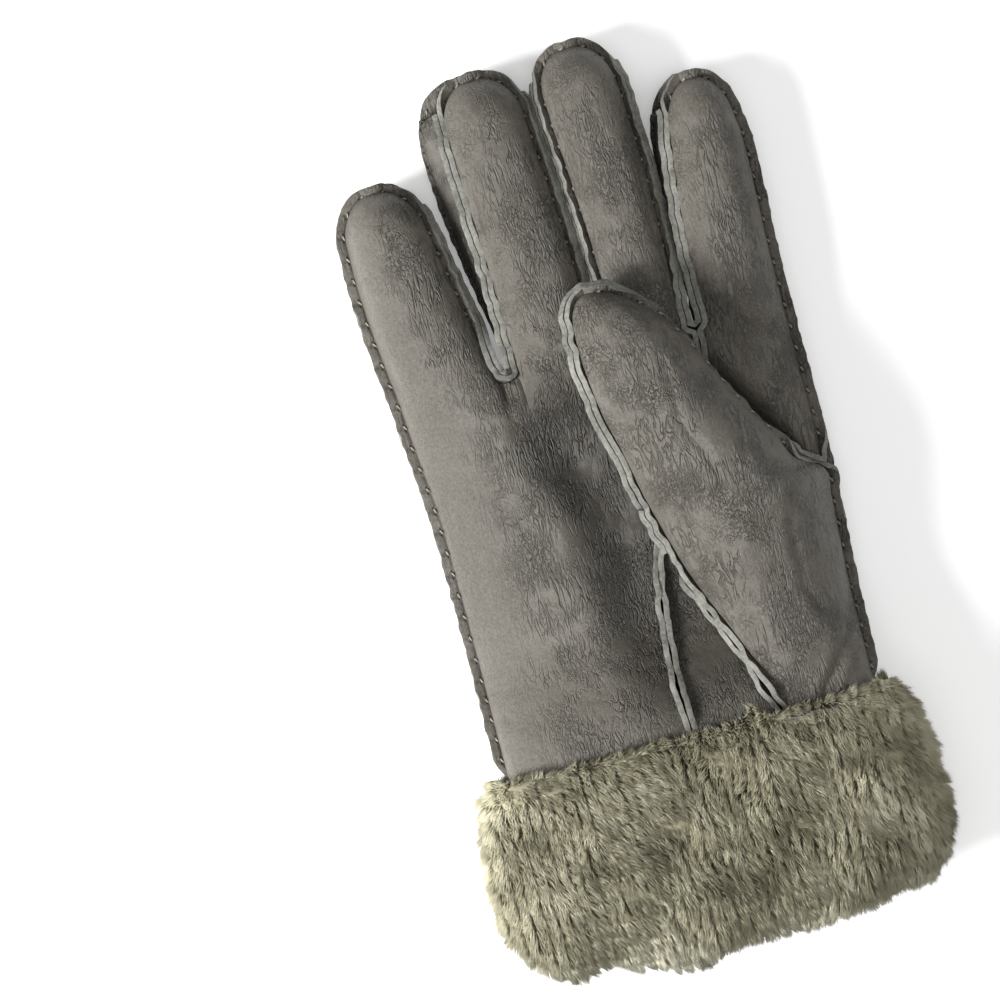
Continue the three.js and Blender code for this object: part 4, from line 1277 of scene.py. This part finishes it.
@dataclass
class Thumb:
    """The thumb leaf, which runs from the cuff to the tip, and the underside of the free thumb.

    Attributes:
        quirk_row: Row at which the leaf leaves the outer seam.
        free_row: Row from which the thumb stands free, with an underside of its own.
        cells: Number of faces across the leaf.
        row_step: Spacing of the mesh along it, in rows.
        depth: How far the underside hangs under its side seams.
        clearance: Least distance of the underside over the palm.
        rows: The leaf's rows.
        body: Places on the leaf.
        edge: Its whole edge.
    """

    quirk_row: float = 7.0
    free_row: float = 7.4
    cells: int = 46
    row_step: float = 0.11
    depth: float = 6.5
    clearance: float = 2.6
    rows: np.ndarray = field(init=False)
    body: np.ndarray = field(init=False)
    edge: Edge = field(init=False)

    def __post_init__(self) -> None:
        """Works out the leaf's places and its edge."""
        first, last = LEAF[0][0], LEAF[-1][0]
        self.rows = np.linspace(first, last, round((last - first) / self.row_step) + 1)
        grid_share, grid_row = np.meshgrid(np.linspace(0, 1, self.cells + 1), self.rows)
        self.body = self.leaf_point(grid_row, grid_share)
        self.body[:, :, 2] += self.creases(self.body)
        left = Edge(self.body[:, 0], *self.left_flange(self.body[:, 0, 1]))
        level = np.ones(self.cells - 1)
        tip = Edge(self.body[-1, 1:-1], TIP_LEAN * level, INNER_FLANGE * level)
        right = Edge(self.body[:, -1], *self.right_flange(self.body[:, -1, 1]))
        self.edge = Edge.chain([left, tip, right.backwards()])

    def leaf_point(self, row: np.ndarray, share: np.ndarray) -> np.ndarray:
        """Returns places on the leaf, from 0 at its left seam to 1 at its right seam.

        Args:
            row: Row along the leaf.
            share: Share across it.
        """
        left_x, left_y, right_x, right_y, left_z, right_z, swell = (curve(row) for curve in LEAF_CURVES)
        turned = smooth(self.quirk_row + 0.6, self.quirk_row + 2, row) * smooth(14.5, 12.5, row)
        right_x = right_x + 2.7 * turned
        right_y = right_y + 1.5 * turned
        x = mix(left_x, right_x, share)
        y = mix(left_y, right_y, share)
        lying = palm_dome(left_x, left_y) + mix(0.95, 2.2, smooth(4, 5, row))
        start = mix(lying, left_z, smooth(6.5, 8.5, row))
        sewn_down = edge_height(right_y) + PAIR / 2
        sharp = mix(sewn_down, right_z - 1.5 * turned, smooth(7.0, 7.9, row))
        soft = mix(sewn_down, np.maximum(right_z, 28.0), smooth(5, 9.5, row))
        end = mix(soft, sharp, smooth(0.6, 0.97, share))
        own = mix(start, end, share) + swell * padded(2 * share - 1)
        wrist = smooth(-50, WRIST_BLEND[1], y) * (1 - share ** 8)
        return np.stack([x, y, mix(own, wrist_height(x, 1), wrist)], axis=-1)

    def left_flange(self, y: np.ndarray) -> tuple[np.ndarray, np.ndarray]:
        """Returns lean and width of the allowance on the leaf's left side.

        Args:
            y: Places along the hand.
        """
        lean = mix(62.0, QUIRK_LEAN, smooth(5.5, 8, self.rows))
        lean = mix(lean, TIP_LEAN, smooth(12.8, 14.8, self.rows))
        return lean, mix(HIDDEN_FLANGE, OUTER_FLANGE, outer_cover(y))

    def right_flange(self, y: np.ndarray) -> tuple[np.ndarray, np.ndarray]:
        """Returns lean and width of the allowance on the leaf's right side.

        Args:
            y: Places along the hand.
        """
        free = mix(-68.0, TIP_LEAN, smooth(12.0, 14.4, self.rows))
        quirk = mix(OUTER_LEAN, QUIRK_LEAN, smooth(6.6, 7.1, self.rows))
        outer = mix(HIDDEN_FLANGE, OUTER_FLANGE, outer_cover(y))
        return (mix(quirk, free, smooth(7.9, 9.0, self.rows)),
                mix(outer, INNER_FLANGE, smooth(6.8, 7.2, self.rows)))

    def creases(self, points: np.ndarray) -> np.ndarray:
        """Returns how far the creases press the leaf down, with a soft rise on both sides of each.

        Args:
            points: Places on the leaf.
        """
        depth = np.zeros(points.shape[:-1])
        for line, drop, width in LEAF_CREASES:
            near = np.full(points.shape[:-1], 1e9)
            for start, end in zip(line, line[1:]):
                start, end = np.array(start, float), np.array(end, float)
                way = end - start
                share = np.clip(((points[..., :2] - start) @ way) / (way @ way), 0, 1)
                gap = np.linalg.norm(points[..., :2] - start - share[..., None] * way, axis=-1)
                near = np.minimum(near, gap)
            groove = np.exp(-(near / width) ** 2)
            rise = np.exp(-((near - 2.4 * width) / width) ** 2)
            depth -= drop * groove - 0.45 * drop * rise
        return depth

    def build_leaf(self) -> bpy.types.Object:
        """Returns the leaf as a sheet without thickness."""
        allowance = self.edge.allowance()
        pieces = [grid_piece("leaf", self.body), grid_piece("allowance", allowance.rows)]
        return join_pieces("thumb_leaf_hide", pieces, [allowance])

    def welt(self) -> Allowance:
        """Returns the second hide of the left seam between the index panel's tail and the free thumb."""
        chosen = np.flatnonzero((self.rows >= self.quirk_row - 1.4) & (self.rows < self.free_row - 0.05))
        return self.edge.allowance(PAIR).part(chosen)

    def build_underside(self) -> bpy.types.Object:
        """Returns the underside of the free thumb as a sheet without thickness."""
        count = len(self.rows)
        last = len(self.edge.points) - 1
        free = np.flatnonzero(self.rows >= self.free_row)
        chosen = np.concatenate([free, np.arange(count, count + self.cells - 1), last - free[::-1]])
        allowance = self.edge.allowance(PAIR).part(chosen)
        seat = allowance.rows[0]
        left, right = seat[:len(free)], seat[::-1][:len(free)]
        share = np.linspace(0, 1, self.cells + 1)
        body = mix(left[:, None, :], right[:, None, :], share[None, :, None])
        body[-1, 1:-1] = seat[len(free):len(free) + self.cells - 1]
        sag = self.depth * np.maximum(0.0, 1 - (2 * share - 1) ** 2) ** 0.7
        sag = sag[None, :] * smooth(LEAF[-1][0], LEAF[-1][0] - 2, self.rows[free])[:, None]
        rest = palm_dome(body[..., 0], body[..., 1]) + self.clearance
        body[:-1, 1:-1, 2] = np.maximum(body[..., 2] - sag, rest)[:-1, 1:-1]
        pieces = [grid_piece("under", body), grid_piece("allowance", allowance.rows)]
        return join_pieces("thumb_underside_hide", pieces, [allowance])


@dataclass
class SideStrip:
    """The forked strip between two fingers: down one finger's side, round the parting and up the other's.

    Attributes:
        name: The strip's name.
        upper_edge: The edges of the palm side that it is sewn to.
        lower_edge: The edges of the back that it is sewn to.
        cells: Number of faces down it.
    """

    name: str
    upper_edge: Edge
    lower_edge: Edge
    cells: int = 8

    def build(self) -> bpy.types.Object:
        """Returns the strip as a sheet without thickness."""
        outward, _, _ = self.upper_edge.directions()
        upper = self.upper_edge.allowance(PAIR)
        lower = self.lower_edge.allowance(-PAIR)
        share = np.linspace(0, 1, self.cells + 1)[1:-1, None, None]
        wall = mix(upper.rows[0][None], lower.rows[0][None], share)
        wall = wall + outward[None] * (1.2 * share * (1 - share))
        rows = np.concatenate([upper.rows[::-1], wall, lower.rows])
        return join_pieces(self.name, [grid_piece("strip", rows)], [upper, lower])


# The stitches

@dataclass
class Stitching:
    """Running stitches of waxed thread along the seams, each a short rounded length between two holes.

    Attributes:
        radius: Radius of the thread.
        sides: Number of faces round it.
        rings: Number of faces along it.
        least_flange: Width of an allowance under which it has no stitches.
        most_lean: Degrees over which an allowance stands too steep to show them.
        slant: How far a stitch slants across its seam, and how much that changes.
    """

    radius: float = 0.3
    sides: int = 8
    rings: int = 6
    least_flange: float = 2.0
    most_lean: float = 58.0
    slant: tuple[float, float] = (0.45, 0.12)

    def template(self) -> tuple[np.ndarray, list[tuple[int, ...]]]:
        """Returns the vertices and faces of one length of thread, lying along X."""
        bpy.ops.mesh.primitive_uv_sphere_add(segments=self.sides, ring_count=self.rings, radius=1.0)
        ball = bpy.context.object
        places = spots_of(ball)[:, [2, 0, 1]]
        faces = [tuple(face.vertices) for face in ball.data.polygons]
        mesh = ball.data
        bpy.data.objects.remove(ball)
        bpy.data.meshes.remove(mesh)
        places[:, 0] = np.sign(places[:, 0]) * np.abs(places[:, 0]) ** 0.8
        return places * (STITCH_HALF, self.radius, self.radius), faces

    def seats(self, edge: Edge) -> np.ndarray:
        """Returns for each stitch its middle and the three ways of its own frame.

        Args:
            edge: The seam, with its stitches on the side that looks back over the panel.
        """
        _, rise, beside = edge.directions()
        along = edge.along()
        stops = np.arange(STITCH_PITCH / 2, along[-1], STITCH_PITCH)
        stops = stops[(np.interp(stops, along, edge.length) > self.least_flange)
                      & (np.interp(stops, along, edge.lean) < self.most_lean)]
        line = edge.points + rise * STITCH_OVER - beside * (HIDE / 2 + 0.06)
        middle = at_distances(line, along, stops)
        ahead, behind = (at_distances(edge.points, along, stops + reach) for reach in (1.0, -1.0))
        way = unit(ahead - behind)
        up = -at_distances(beside, along, stops)
        up = unit(up - way * np.sum(up * way, axis=1, keepdims=True))
        slant = self.slant[0] + self.slant[1] * np.sin(stops * 7.0)[:, None]
        way = way * np.sqrt(1 - slant ** 2) + np.cross(up, way) * slant
        return np.stack([middle, way, np.cross(up, way), up], axis=1)

    def build(self, name: str, edges: Sequence[Edge]) -> bpy.types.Object:
        """Returns the stitches of several seams as one mesh.

        Args:
            name: The piece's name.
            edges: The seams.
        """
        places, faces = self.template()
        seats = np.concatenate([self.seats(edge) for edge in edges])
        vertices = seats[:, None, 0] + np.einsum("vk,nkc->nvc", places, seats[:, 1:])
        vertices[..., 2] = np.maximum(vertices[..., 2], 0.02)
        starts = range(0, len(seats) * len(places), len(places))
        copied = [tuple(v + start for v in face) for start in starts for face in faces]
        mesh = bpy.data.meshes.new(name)
        mesh.from_pydata(((vertices.reshape(-1, 3) + SHIFT) * MM).tolist(), [], copied)
        return link_mesh(mesh)


@dataclass
class Hand:
    """The hand of the glove: five panels of hide, the side strips between the fingers, and the stitches."""

    hide: bpy.types.Material
    side_hide: bpy.types.Material
    raw: bpy.types.Material
    thread: bpy.types.Material
    palm: HandPanel = field(init=False)
    back: HandPanel = field(init=False)
    index: IndexPanel = field(init=False)
    thumb: Thumb = field(init=False)

    def __post_init__(self) -> None:
        """Lays out the panels."""
        self.palm = HandPanel("palm_hide", FINGER_NAMES[:3], Face.PALM,
                              (body_left, lambda y: body_seam(y) - slit_half(y)), palm_dome, seam_side=True)
        self.back = HandPanel("back_hide", FINGER_NAMES, Face.BACK, (body_left, body_right), back_floor)
        self.thumb = Thumb()
        self.index = IndexPanel(self.thumb.welt())

    def build(self) -> None:
        """Builds and dresses all the pieces of the hand."""
        for node, build, gets_painted_shade in (
                ("palm_panel", self.palm.build, True), ("back_panel", self.back.build, False),
                ("index_panel", self.index.build, True), ("thumb_leaf", self.thumb.build_leaf, False),
                ("thumb_underside", self.thumb.build_underside, False)):
            piece = build()
            if gets_painted_shade:
                mark_painted_shade_and_calm(piece)
            make_hide(piece, self.hide, self.raw)
            dress(piece, "hide", (node,))
        for name, following in zip(FINGER_NAMES, FINGER_NAMES[1:]):
            strip = SideStrip(f"side_hide_{name}_{following}", self.strip_edge(self.palm, name, following),
                              self.strip_edge(self.back, name, following)).build()
            make_hide(strip, self.side_hide, self.raw)
            dress(strip, "side_hide", (f"side_strip_{name}_{following}",))
        edges = [panel.edge for panel in (self.palm, self.index, self.thumb, self.back)]
        dress(Stitching().build("stitches", edges), "hide", (), self.thread)

    def strip_edge(self, panel: HandPanel, name: str, following: str) -> Edge:
        """Returns the edge that a side strip is sewn to, down one finger and up the next.

        Args:
            panel: The palm side's panel or the back.
            name: The finger on the left.
            following: The finger on the right.
        """
        right = panel.side(name, Side.RIGHT).between(name, CROTCHES[name])
        if following in panel.names:
            left = panel.side(following, Side.LEFT).between(following)
            web = panel.web_edge(name, following)
        else:
            left = self.index.left_edge.between(following, CROTCHES[name])
            share = np.linspace(0, 1, WEB_CELLS + 1)[1:-1, None]
            places = mix(right.points[0], left.points[0], share)
            places[:, 1] -= INDEX_WEB_SAG * 4 * share[:, 0] * (1 - share[:, 0])
            web = Edge(places, *hand_flange(name, Side.RIGHT, Face.PALM, places[:, 1]))
        return Edge.chain([right.backwards(), web, left])


# The fleece

def flattened(value: np.ndarray) -> np.ndarray:
    """Returns a cosine or sine drawn out to the wrist's flattened round."""
    return np.sign(value) * np.abs(value) ** (2 / 3)


def wrist_round(turn: np.ndarray, out: Numbers) -> tuple[np.ndarray, np.ndarray]:
    """Returns x and z on the wrist's flattened round, a distance outside the hide.

    Args:
        turn: Turns round the wrist.
        out: Distance outside the hide.
    """
    angle = 2 * math.pi * turn
    x = CUFF_MIDDLE_X + (WRIST_HALF_WIDTH + out) * flattened(np.cos(angle))
    z = CUFF_Z + (WRIST_HALF_HEIGHT + PAIR / 2 + out * 0.88) * flattened(np.sin(angle))
    return x, z


@dataclass(frozen=True)
class Quarter:
    """A quarter of the cuff: its name, the turn at which it starts, its number of strands and its seed."""

    name: str
    start: float
    strands: int
    seed: int


QUARTERS = (
    Quarter("palm_left", 0.25, 41000, 14), Quarter("palm_right", 0.0, 41000, 13),
    Quarter("back_left", 0.5, 21000, 12), Quarter("back_right", 0.75, 21000, 11),
)


@dataclass
class Roots:
    """The roots of one quarter's strands: their places, the ways out of the ring and the wool's stand."""

    places: np.ndarray
    normals: np.ndarray
    stand: np.ndarray


@dataclass
class Cuff:
    """The turned-back cuff: a padded ring of fleece under tens of thousands of tapering strands, and its hem.

    Attributes:
        hide: Material of the hem.
        raw: Material of its raw edges.
        fleece: Material of the wool.
        around: Number of faces round the ring.
        down: Number of faces round its section.
        sink: How far the ring lies below the tips of the pile.
        clump: Usual distance of two locks.
        clump_pull: How far tips draw together into a lock, as a share of the way.
        tuft: Sideways place, breadth and height of the tuft in the cuff's upper edge.
        thickness: Least and greatest radius of a strand's foot.
        length: Least and greatest length of a strand.
        ring_tone: Tone of the ring, which shows only between the strands.
        root_shade: How much darker a strand is at its root.
        tip_light: How much paler it is at its tip.
    """

    hide: bpy.types.Material
    raw: bpy.types.Material
    fleece: bpy.types.Material
    around: int = 300
    down: int = 110
    sink: float = 3.0
    clump: float = 3.4
    clump_pull: float = 0.55
    tuft: tuple[float, float, float] = (21.5, 3.0, 3.6)
    thickness: tuple[float, float] = (0.14, 0.22)
    length: tuple[float, float] = (3.6, 5.6)
    ring_tone: float = 0.27
    root_shade: float = 0.18
    tip_light: float = 0.09

    def build(self) -> None:
        """Builds and dresses the hem, the ring and the strands."""
        hem = self.build_hem()
        make_hide(hem, self.hide, self.raw)
        dress(hem, "hide", ())
        dress(self.build_ring(), "fleece", ("cuff_fleece",), self.fleece)
        for quarter in QUARTERS:
            dress(self.build_strands(quarter), "fleece", (), self.fleece)

    def even_turns(self, count: int) -> np.ndarray:
        """Returns turns at even distances round the cuff.

        Args:
            count: Number of steps.
        """
        steps = np.linspace(0, 1, 6001)
        x, z = wrist_round(steps, 13.0)
        lengths = np.concatenate([[0], np.cumsum(np.hypot(np.diff(x), np.diff(z)))])
        return np.interp(np.linspace(0, lengths[-1], count + 1), lengths, steps)

    def section(self, count: int) -> np.ndarray:
        """Returns the ring's section as a smooth closed loop of y, distance outside and stand.

        Args:
            count: Number of steps round it.
        """
        loop = np.array(CUFF_SECTION + CUFF_SECTION[:1], float)
        lengths = np.concatenate([[0], np.cumsum(np.linalg.norm(np.diff(loop[:, :2], axis=0), axis=1))])
        rows = [(place, *stop) for place, stop in zip(lengths, loop)]
        at = np.linspace(0, lengths[-1], count + 1)
        return np.stack([curve(at) for curve in curves(rows)], axis=1)

    def surface(self, turn: np.ndarray, y: np.ndarray, out: np.ndarray) -> np.ndarray:
        """Returns places on or over the ring, whose lower edge wanders up and down.

        Args:
            turn: Turns round the wrist.
            y: Places along the hand before the edge wanders.
            out: Distances outside the wrist's hide.
        """
        wide = out + np.maximum(out, 0) / 13.0 * np.where(np.cos(2 * math.pi * turn) < 0, 2.0, 0.6)
        x, _ = wrist_round(turn, wide)
        _, z = wrist_round(turn, out)
        stretch = (cuff_low(x) - CUFF_TOP_Y) / -CUFF_LENGTH
        return np.stack([x, CUFF_TOP_Y + (y - CUFF_TOP_Y) * stretch, np.maximum(z, 0.5)], axis=-1)

    def build_hem(self) -> bpy.types.Object:
        """Returns the turned edge of hide that shows over the fleece at the thumb's side."""
        x = np.linspace(27.0, 52.0, 40)
        rows = []
        for share in np.linspace(0, 1, 5):
            y = CUFF_TOP_Y - 0.2 - 2.2 * share + 0.3 * np.sin(x * 0.7)
            z = wrist_height(x, 1) + 1.4 + 4.6 * share - 1.6 * np.abs((x - 39.5) / 12.5) ** 4 * share
            rows.append(np.stack([x, y, z], axis=-1))
        return join_pieces("cuff_hem", [grid_piece("hem", np.array(rows))])

    def build_ring(self) -> bpy.types.Object:
        """Returns the ring under the strands."""
        turns = self.even_turns(self.around)
        y, out, stand = (column[:, None] for column in self.section(self.down).T)
        turn = np.broadcast_to(turns[None, :], (len(y), len(turns)))
        y = np.broadcast_to(y, turn.shape)
        out = out - self.sink * stand
        points = self.surface(turn, y, out)
        out = out + (0.9 * ripple(points, 9.0, 21) + 0.6 * ripple(points, 4.5, 22)) * stand
        points = self.surface(turn, y, out)
        ring = join_pieces("cuff_fleece_ring", [grid_piece("ring", points[:, ::-1])])
        write_attribute(ring.data, "tone", np.full(len(ring.data.vertices), self.ring_tone))
        bpy.ops.object.shade_smooth()
        return ring

    def build_strands(self, quarter: Quarter) -> bpy.types.Object:
        """Returns the strands of a quarter of the cuff as one mesh.

        Args:
            quarter: The quarter.
        """
        draw = np.random.default_rng(quarter.seed)
        roots = self.roots(quarter, draw)
        tips = roots.places + self.strand_ways(roots, draw)
        pull, shade = self.locks(roots.places)
        tips += pull * self.clump_pull
        tips[:, 2] = np.maximum(tips[:, 2], 0.12)
        roots.places[:, 2] = np.maximum(roots.places[:, 2], 0.3)
        tone = self.tones_and_painted_light(roots.places, shade, draw)
        radius = mix(*self.thickness, draw.random(quarter.strands))
        return self.spikes(f"cuff_strands_{quarter.name}", roots.places, tips, radius, tone)

    def roots(self, quarter: Quarter, draw: np.random.Generator) -> Roots:
        """Returns roots spread evenly over a quarter of the ring.

        Args:
            quarter: The quarter of the cuff.
            draw: Source of random numbers.
        """
        turns = self.even_turns(4000)
        low, high = np.interp([quarter.start, quarter.start + 0.25], turns, np.arange(4001))
        turn = np.interp(draw.uniform(low, high, quarter.strands), np.arange(4001), turns)
        loop = self.section(1200)
        outer = loop[loop[:, 2] > 0.3]
        pick = draw.integers(1, len(outer) - 1, quarter.strands)
        y, out, stand = outer[pick].T
        level = out - self.sink * stand
        places = self.surface(turn, y, level)
        around = self.surface(turn + 0.0004, y, level) - self.surface(turn - 0.0004, y, level)
        after, before = (self.surface(turn, rows[:, 0], rows[:, 1] - self.sink * rows[:, 2])
                         for rows in (outer[pick + 1], outer[pick - 1]))
        normals = unit(np.cross(around, after - before))
        top = smooth(-83, -75, places[:, 1]) * (places[:, 2] > CUFF_Z)
        middle, breadth, height = self.tuft
        tuft = height * np.exp(-((places[:, 0] - middle) / breadth) ** 2)
        places[:, 1] += top * (0.9 * ripple(places, 10.0, 37) + tuft)
        return Roots(places, normals, stand)

    def strand_ways(self, roots: Roots, draw: np.random.Generator) -> np.ndarray:
        """Returns the way from each root to its tip before the locks draw together.

        Args:
            roots: The strands' roots.
            draw: Source of random numbers.
        """
        root, count = roots.places, len(roots.places)
        drift = mix(0.05, 0.62, smooth(8, -30, root[:, 0]))
        drift = drift + 0.42 * ripple(root, 26.0, 31) + 0.3 * ripple(root, 9.0, 32)
        fall = np.stack([drift, -1.0 + 0.25 * ripple(root, 15.0, 33), np.zeros(count)], axis=1)
        fall = unit(fall - roots.normals * np.sum(fall * roots.normals, axis=1, keepdims=True))
        lift = np.clip(0.75 + 0.3 * ripple(root, 9.0, 34) + 0.16 * draw.normal(size=count), 0.25, 1.6)
        way = unit(fall + roots.normals * lift[:, None] + 0.15 * draw.normal(size=(count, 3)))
        length = mix(*self.length, draw.random(count)) * mix(0.5, 1.0, roots.stand)
        return way * length[:, None]

    def tones_and_painted_light(self, root: np.ndarray, shade: np.ndarray, draw: np.random.Generator) -> np.ndarray:
        """Returns each strand's tone, with soft patches and streaks along the fall of the wool, and painted
        light: a painted highlight band left of the middle, paler towards the right side and a pale painted
        glow along the lower edge.

        Args:
            root: Places of the roots.
            shade: Shade of each root's lock.
            draw: Source of random numbers.
        """
        streak = np.stack([(root[:, 0] + 0.5 * root[:, 1]) * 2.6, root[:, 1] * 0.6, root[:, 2]], axis=1)
        tone = 0.38 + 0.05 * draw.normal(size=len(root)) + 0.09 * shade + 0.15 * ripple(root, 18.0, 35)
        # Painted light: the pale band along the lower edge stands for backlight through the wool's tips.
        tone += 0.12 * ripple(streak, 8.0, 36) + 0.3 * smooth(-122, -134, root[:, 1])
        # Painted highlight: a lighter band from about x -8 to -44, fading again towards the far left.
        tone += 0.15 * smooth(-8, -35, root[:, 0]) - 0.12 * smooth(-44, -64, root[:, 0])
        # Painted light: lighter towards the right side, standing in for fill light there.
        return tone + 0.12 * smooth(20, 60, root[:, 0])

    def locks(self, root: np.ndarray) -> tuple[np.ndarray, np.ndarray]:
        """Returns the way to the middle of each root's lock, and the lock's own shade.

        Args:
            root: Places of the roots.
        """
        span = 97
        table = np.random.default_rng(5).uniform(-0.5, 0.5, (span, span, span, 4))[:, :, 0]
        cell = np.floor(root[:, :2] / self.clump).astype(int)
        level = (root[:, 2] > CUFF_Z).astype(int) * 31
        chosen = table[(cell[:, 0] + level) % span, cell[:, 1] % span]
        pull = np.zeros_like(root)
        pull[:, :2] = (cell + 0.5 + 0.7 * chosen[:, :2]) * self.clump - root[:, :2]
        return pull, 2 * chosen[:, 2]

    def spikes(self, name: str, root: np.ndarray, tip: np.ndarray, radius: np.ndarray,
               tone: np.ndarray) -> bpy.types.Object:
        """Returns many closed three-sided spikes as one mesh, darker at their roots.

        Args:
            name: The piece's name.
            root: Middles of the spikes' feet.
            tip: Their tips.
            radius: Their radii at the foot.
            tone: Their tones.
        """
        count = len(root)
        way = unit(tip - root)
        side = unit(np.cross(way, np.array([0.31, 0.17, 0.93])))
        other = np.cross(way, side)
        vertices = np.empty((count, 4, 3))
        for k in range(3):
            angle = 2 * math.pi * k / 3
            vertices[:, k] = root + (side * math.cos(angle) + other * math.sin(angle)) * radius[:, None]
        vertices[:, 3] = tip
        pattern = np.array([(0, 2, 1), (0, 1, 3), (1, 2, 3), (2, 0, 3)])
        faces = (pattern[None] + 4 * np.arange(count)[:, None, None]).reshape(-1, 3)
        mesh = bpy.data.meshes.new(name)
        mesh.vertices.add(count * 4)
        mesh.vertices.foreach_set("co", ((vertices.reshape(-1, 3) + SHIFT) * MM).ravel())
        mesh.loops.add(len(faces) * 3)
        mesh.loops.foreach_set("vertex_index", faces.ravel())
        mesh.polygons.add(len(faces))
        mesh.polygons.foreach_set("loop_start", np.arange(0, len(faces) * 3, 3))
        mesh.update(calc_edges=True)
        mesh.validate()
        tones_and_painted_light = np.stack([tone - self.root_shade] * 3 + [tone + self.tip_light], axis=1)
        write_attribute(mesh, "tone", tones_and_painted_light.ravel())
        return link_mesh(mesh)


# Studio

@dataclass
class Studio:
    """Pale floor, soft lights and the camera that looks straight down on the glove.

    Attributes:
        distance: Distance of the camera from the glove's upper surface.
        level: Height of that surface.
        view_width: Width of the view there.
        sensor: Width of the camera's sensor in millimetres.
        centre: Place over which the camera stands.
        turn: Degrees that the glove is turned in the view.
        lights: Name, place, size and power of each light.
    """

    distance: float = 0.9
    level: float = 0.022
    view_width: float = 0.300
    sensor: float = 36.0
    centre: tuple[float, float] = (-0.0372, 0.0072)
    turn: float = 15.0
    lights: tuple[tuple[str, tuple[float, float, float], float, float], ...] = (
        ("key", (-0.88, -0.1, 0.52), 0.4, 25.0),
        ("fill", (0.8, -0.1, 0.7), 0.8, 3.2),
        ("top", (-0.1, -0.1, 1.5), 1.0, 6.0),
    )

    def build(self) -> None:
        """Adds the floor, the lights, the air and the camera."""
        bpy.ops.mesh.primitive_plane_add(size=3.0, location=(0, 0, 0))
        floor = bpy.context.object
        floor.name = "floor"
        nodes = NodeTree("pale_floor")
        nodes.set_shader(Base_Color=grey(0.93), Roughness=0.9, Emission_Color=WHITE, Emission_Strength=0.25)
        floor.data.materials.append(nodes.material)
        for name, place, size, power in self.lights:
            self.light(name, place, size, power)
        bpy.context.scene.view_settings.view_transform = "Standard"
        world = bpy.data.worlds.new("studio_air")
        world.use_nodes = True
        world.node_tree.nodes["Background"].inputs[0].default_value = (1, 1, 1, 1)
        world.node_tree.nodes["Background"].inputs[1].default_value = 0.24
        bpy.context.scene.world = world
        self.camera()

    def light(self, name: str, place: tuple[float, float, float], size: float, power: float) -> None:
        """Adds a square soft light that looks at the glove.

        Args:
            name: The light's name.
            place: Its place.
            size: Length of its side.
            power: Its power in watts.
        """
        bpy.ops.object.light_add(type="AREA", location=place)
        light = bpy.context.object
        light.name = name
        light.data.size = size
        light.data.energy = power
        light.rotation_euler = (-Vector(place)).to_track_quat("-Z", "Y").to_euler()

    def camera(self) -> None:
        """Adds the camera, with the glove turned as in the photograph."""
        bpy.ops.object.camera_add()
        camera = bpy.context.object
        camera.name = "camera"
        turn = math.radians(self.turn)
        up = Vector((math.sin(turn), math.cos(turn), 0))
        right = Vector((math.cos(turn), -math.sin(turn), 0))
        rotation = Matrix((right, up, Vector((0, 0, 1)))).transposed().to_4x4()
        camera.matrix_world = Matrix.Translation((*self.centre, self.level + self.distance)) @ rotation
        camera.data.sensor_width = self.sensor
        camera.data.lens = self.sensor * self.distance / self.view_width
        camera.data.clip_end = 10
        bpy.context.scene.camera = camera


def main() -> None:
    """Builds and dresses the glove and its studio."""
    logging.basicConfig(level=logging.INFO, format="%(message)s")
    bpy.ops.object.select_all(action="DESELECT")
    hide = HideFinish().make("hide")
    # The side strips between the fingers wear a darker copy of the hide: painted shade, for the shade that
    # falls between the fingers.
    side_hide = HideFinish(dark=(0.057, 0.0505, 0.042), light=(0.112, 0.101, 0.085)).make("side_hide")
    raw = RawEdgeFinish().make("raw_edge")
    thread = ThreadFinish().make("thread")
    fleece = FleeceFinish().make("fleece")
    Hand(hide, side_hide, raw, thread).build()
    Cuff(hide, raw, fleece).build()
    Studio().build()


if __name__ == "__main__":
    main()
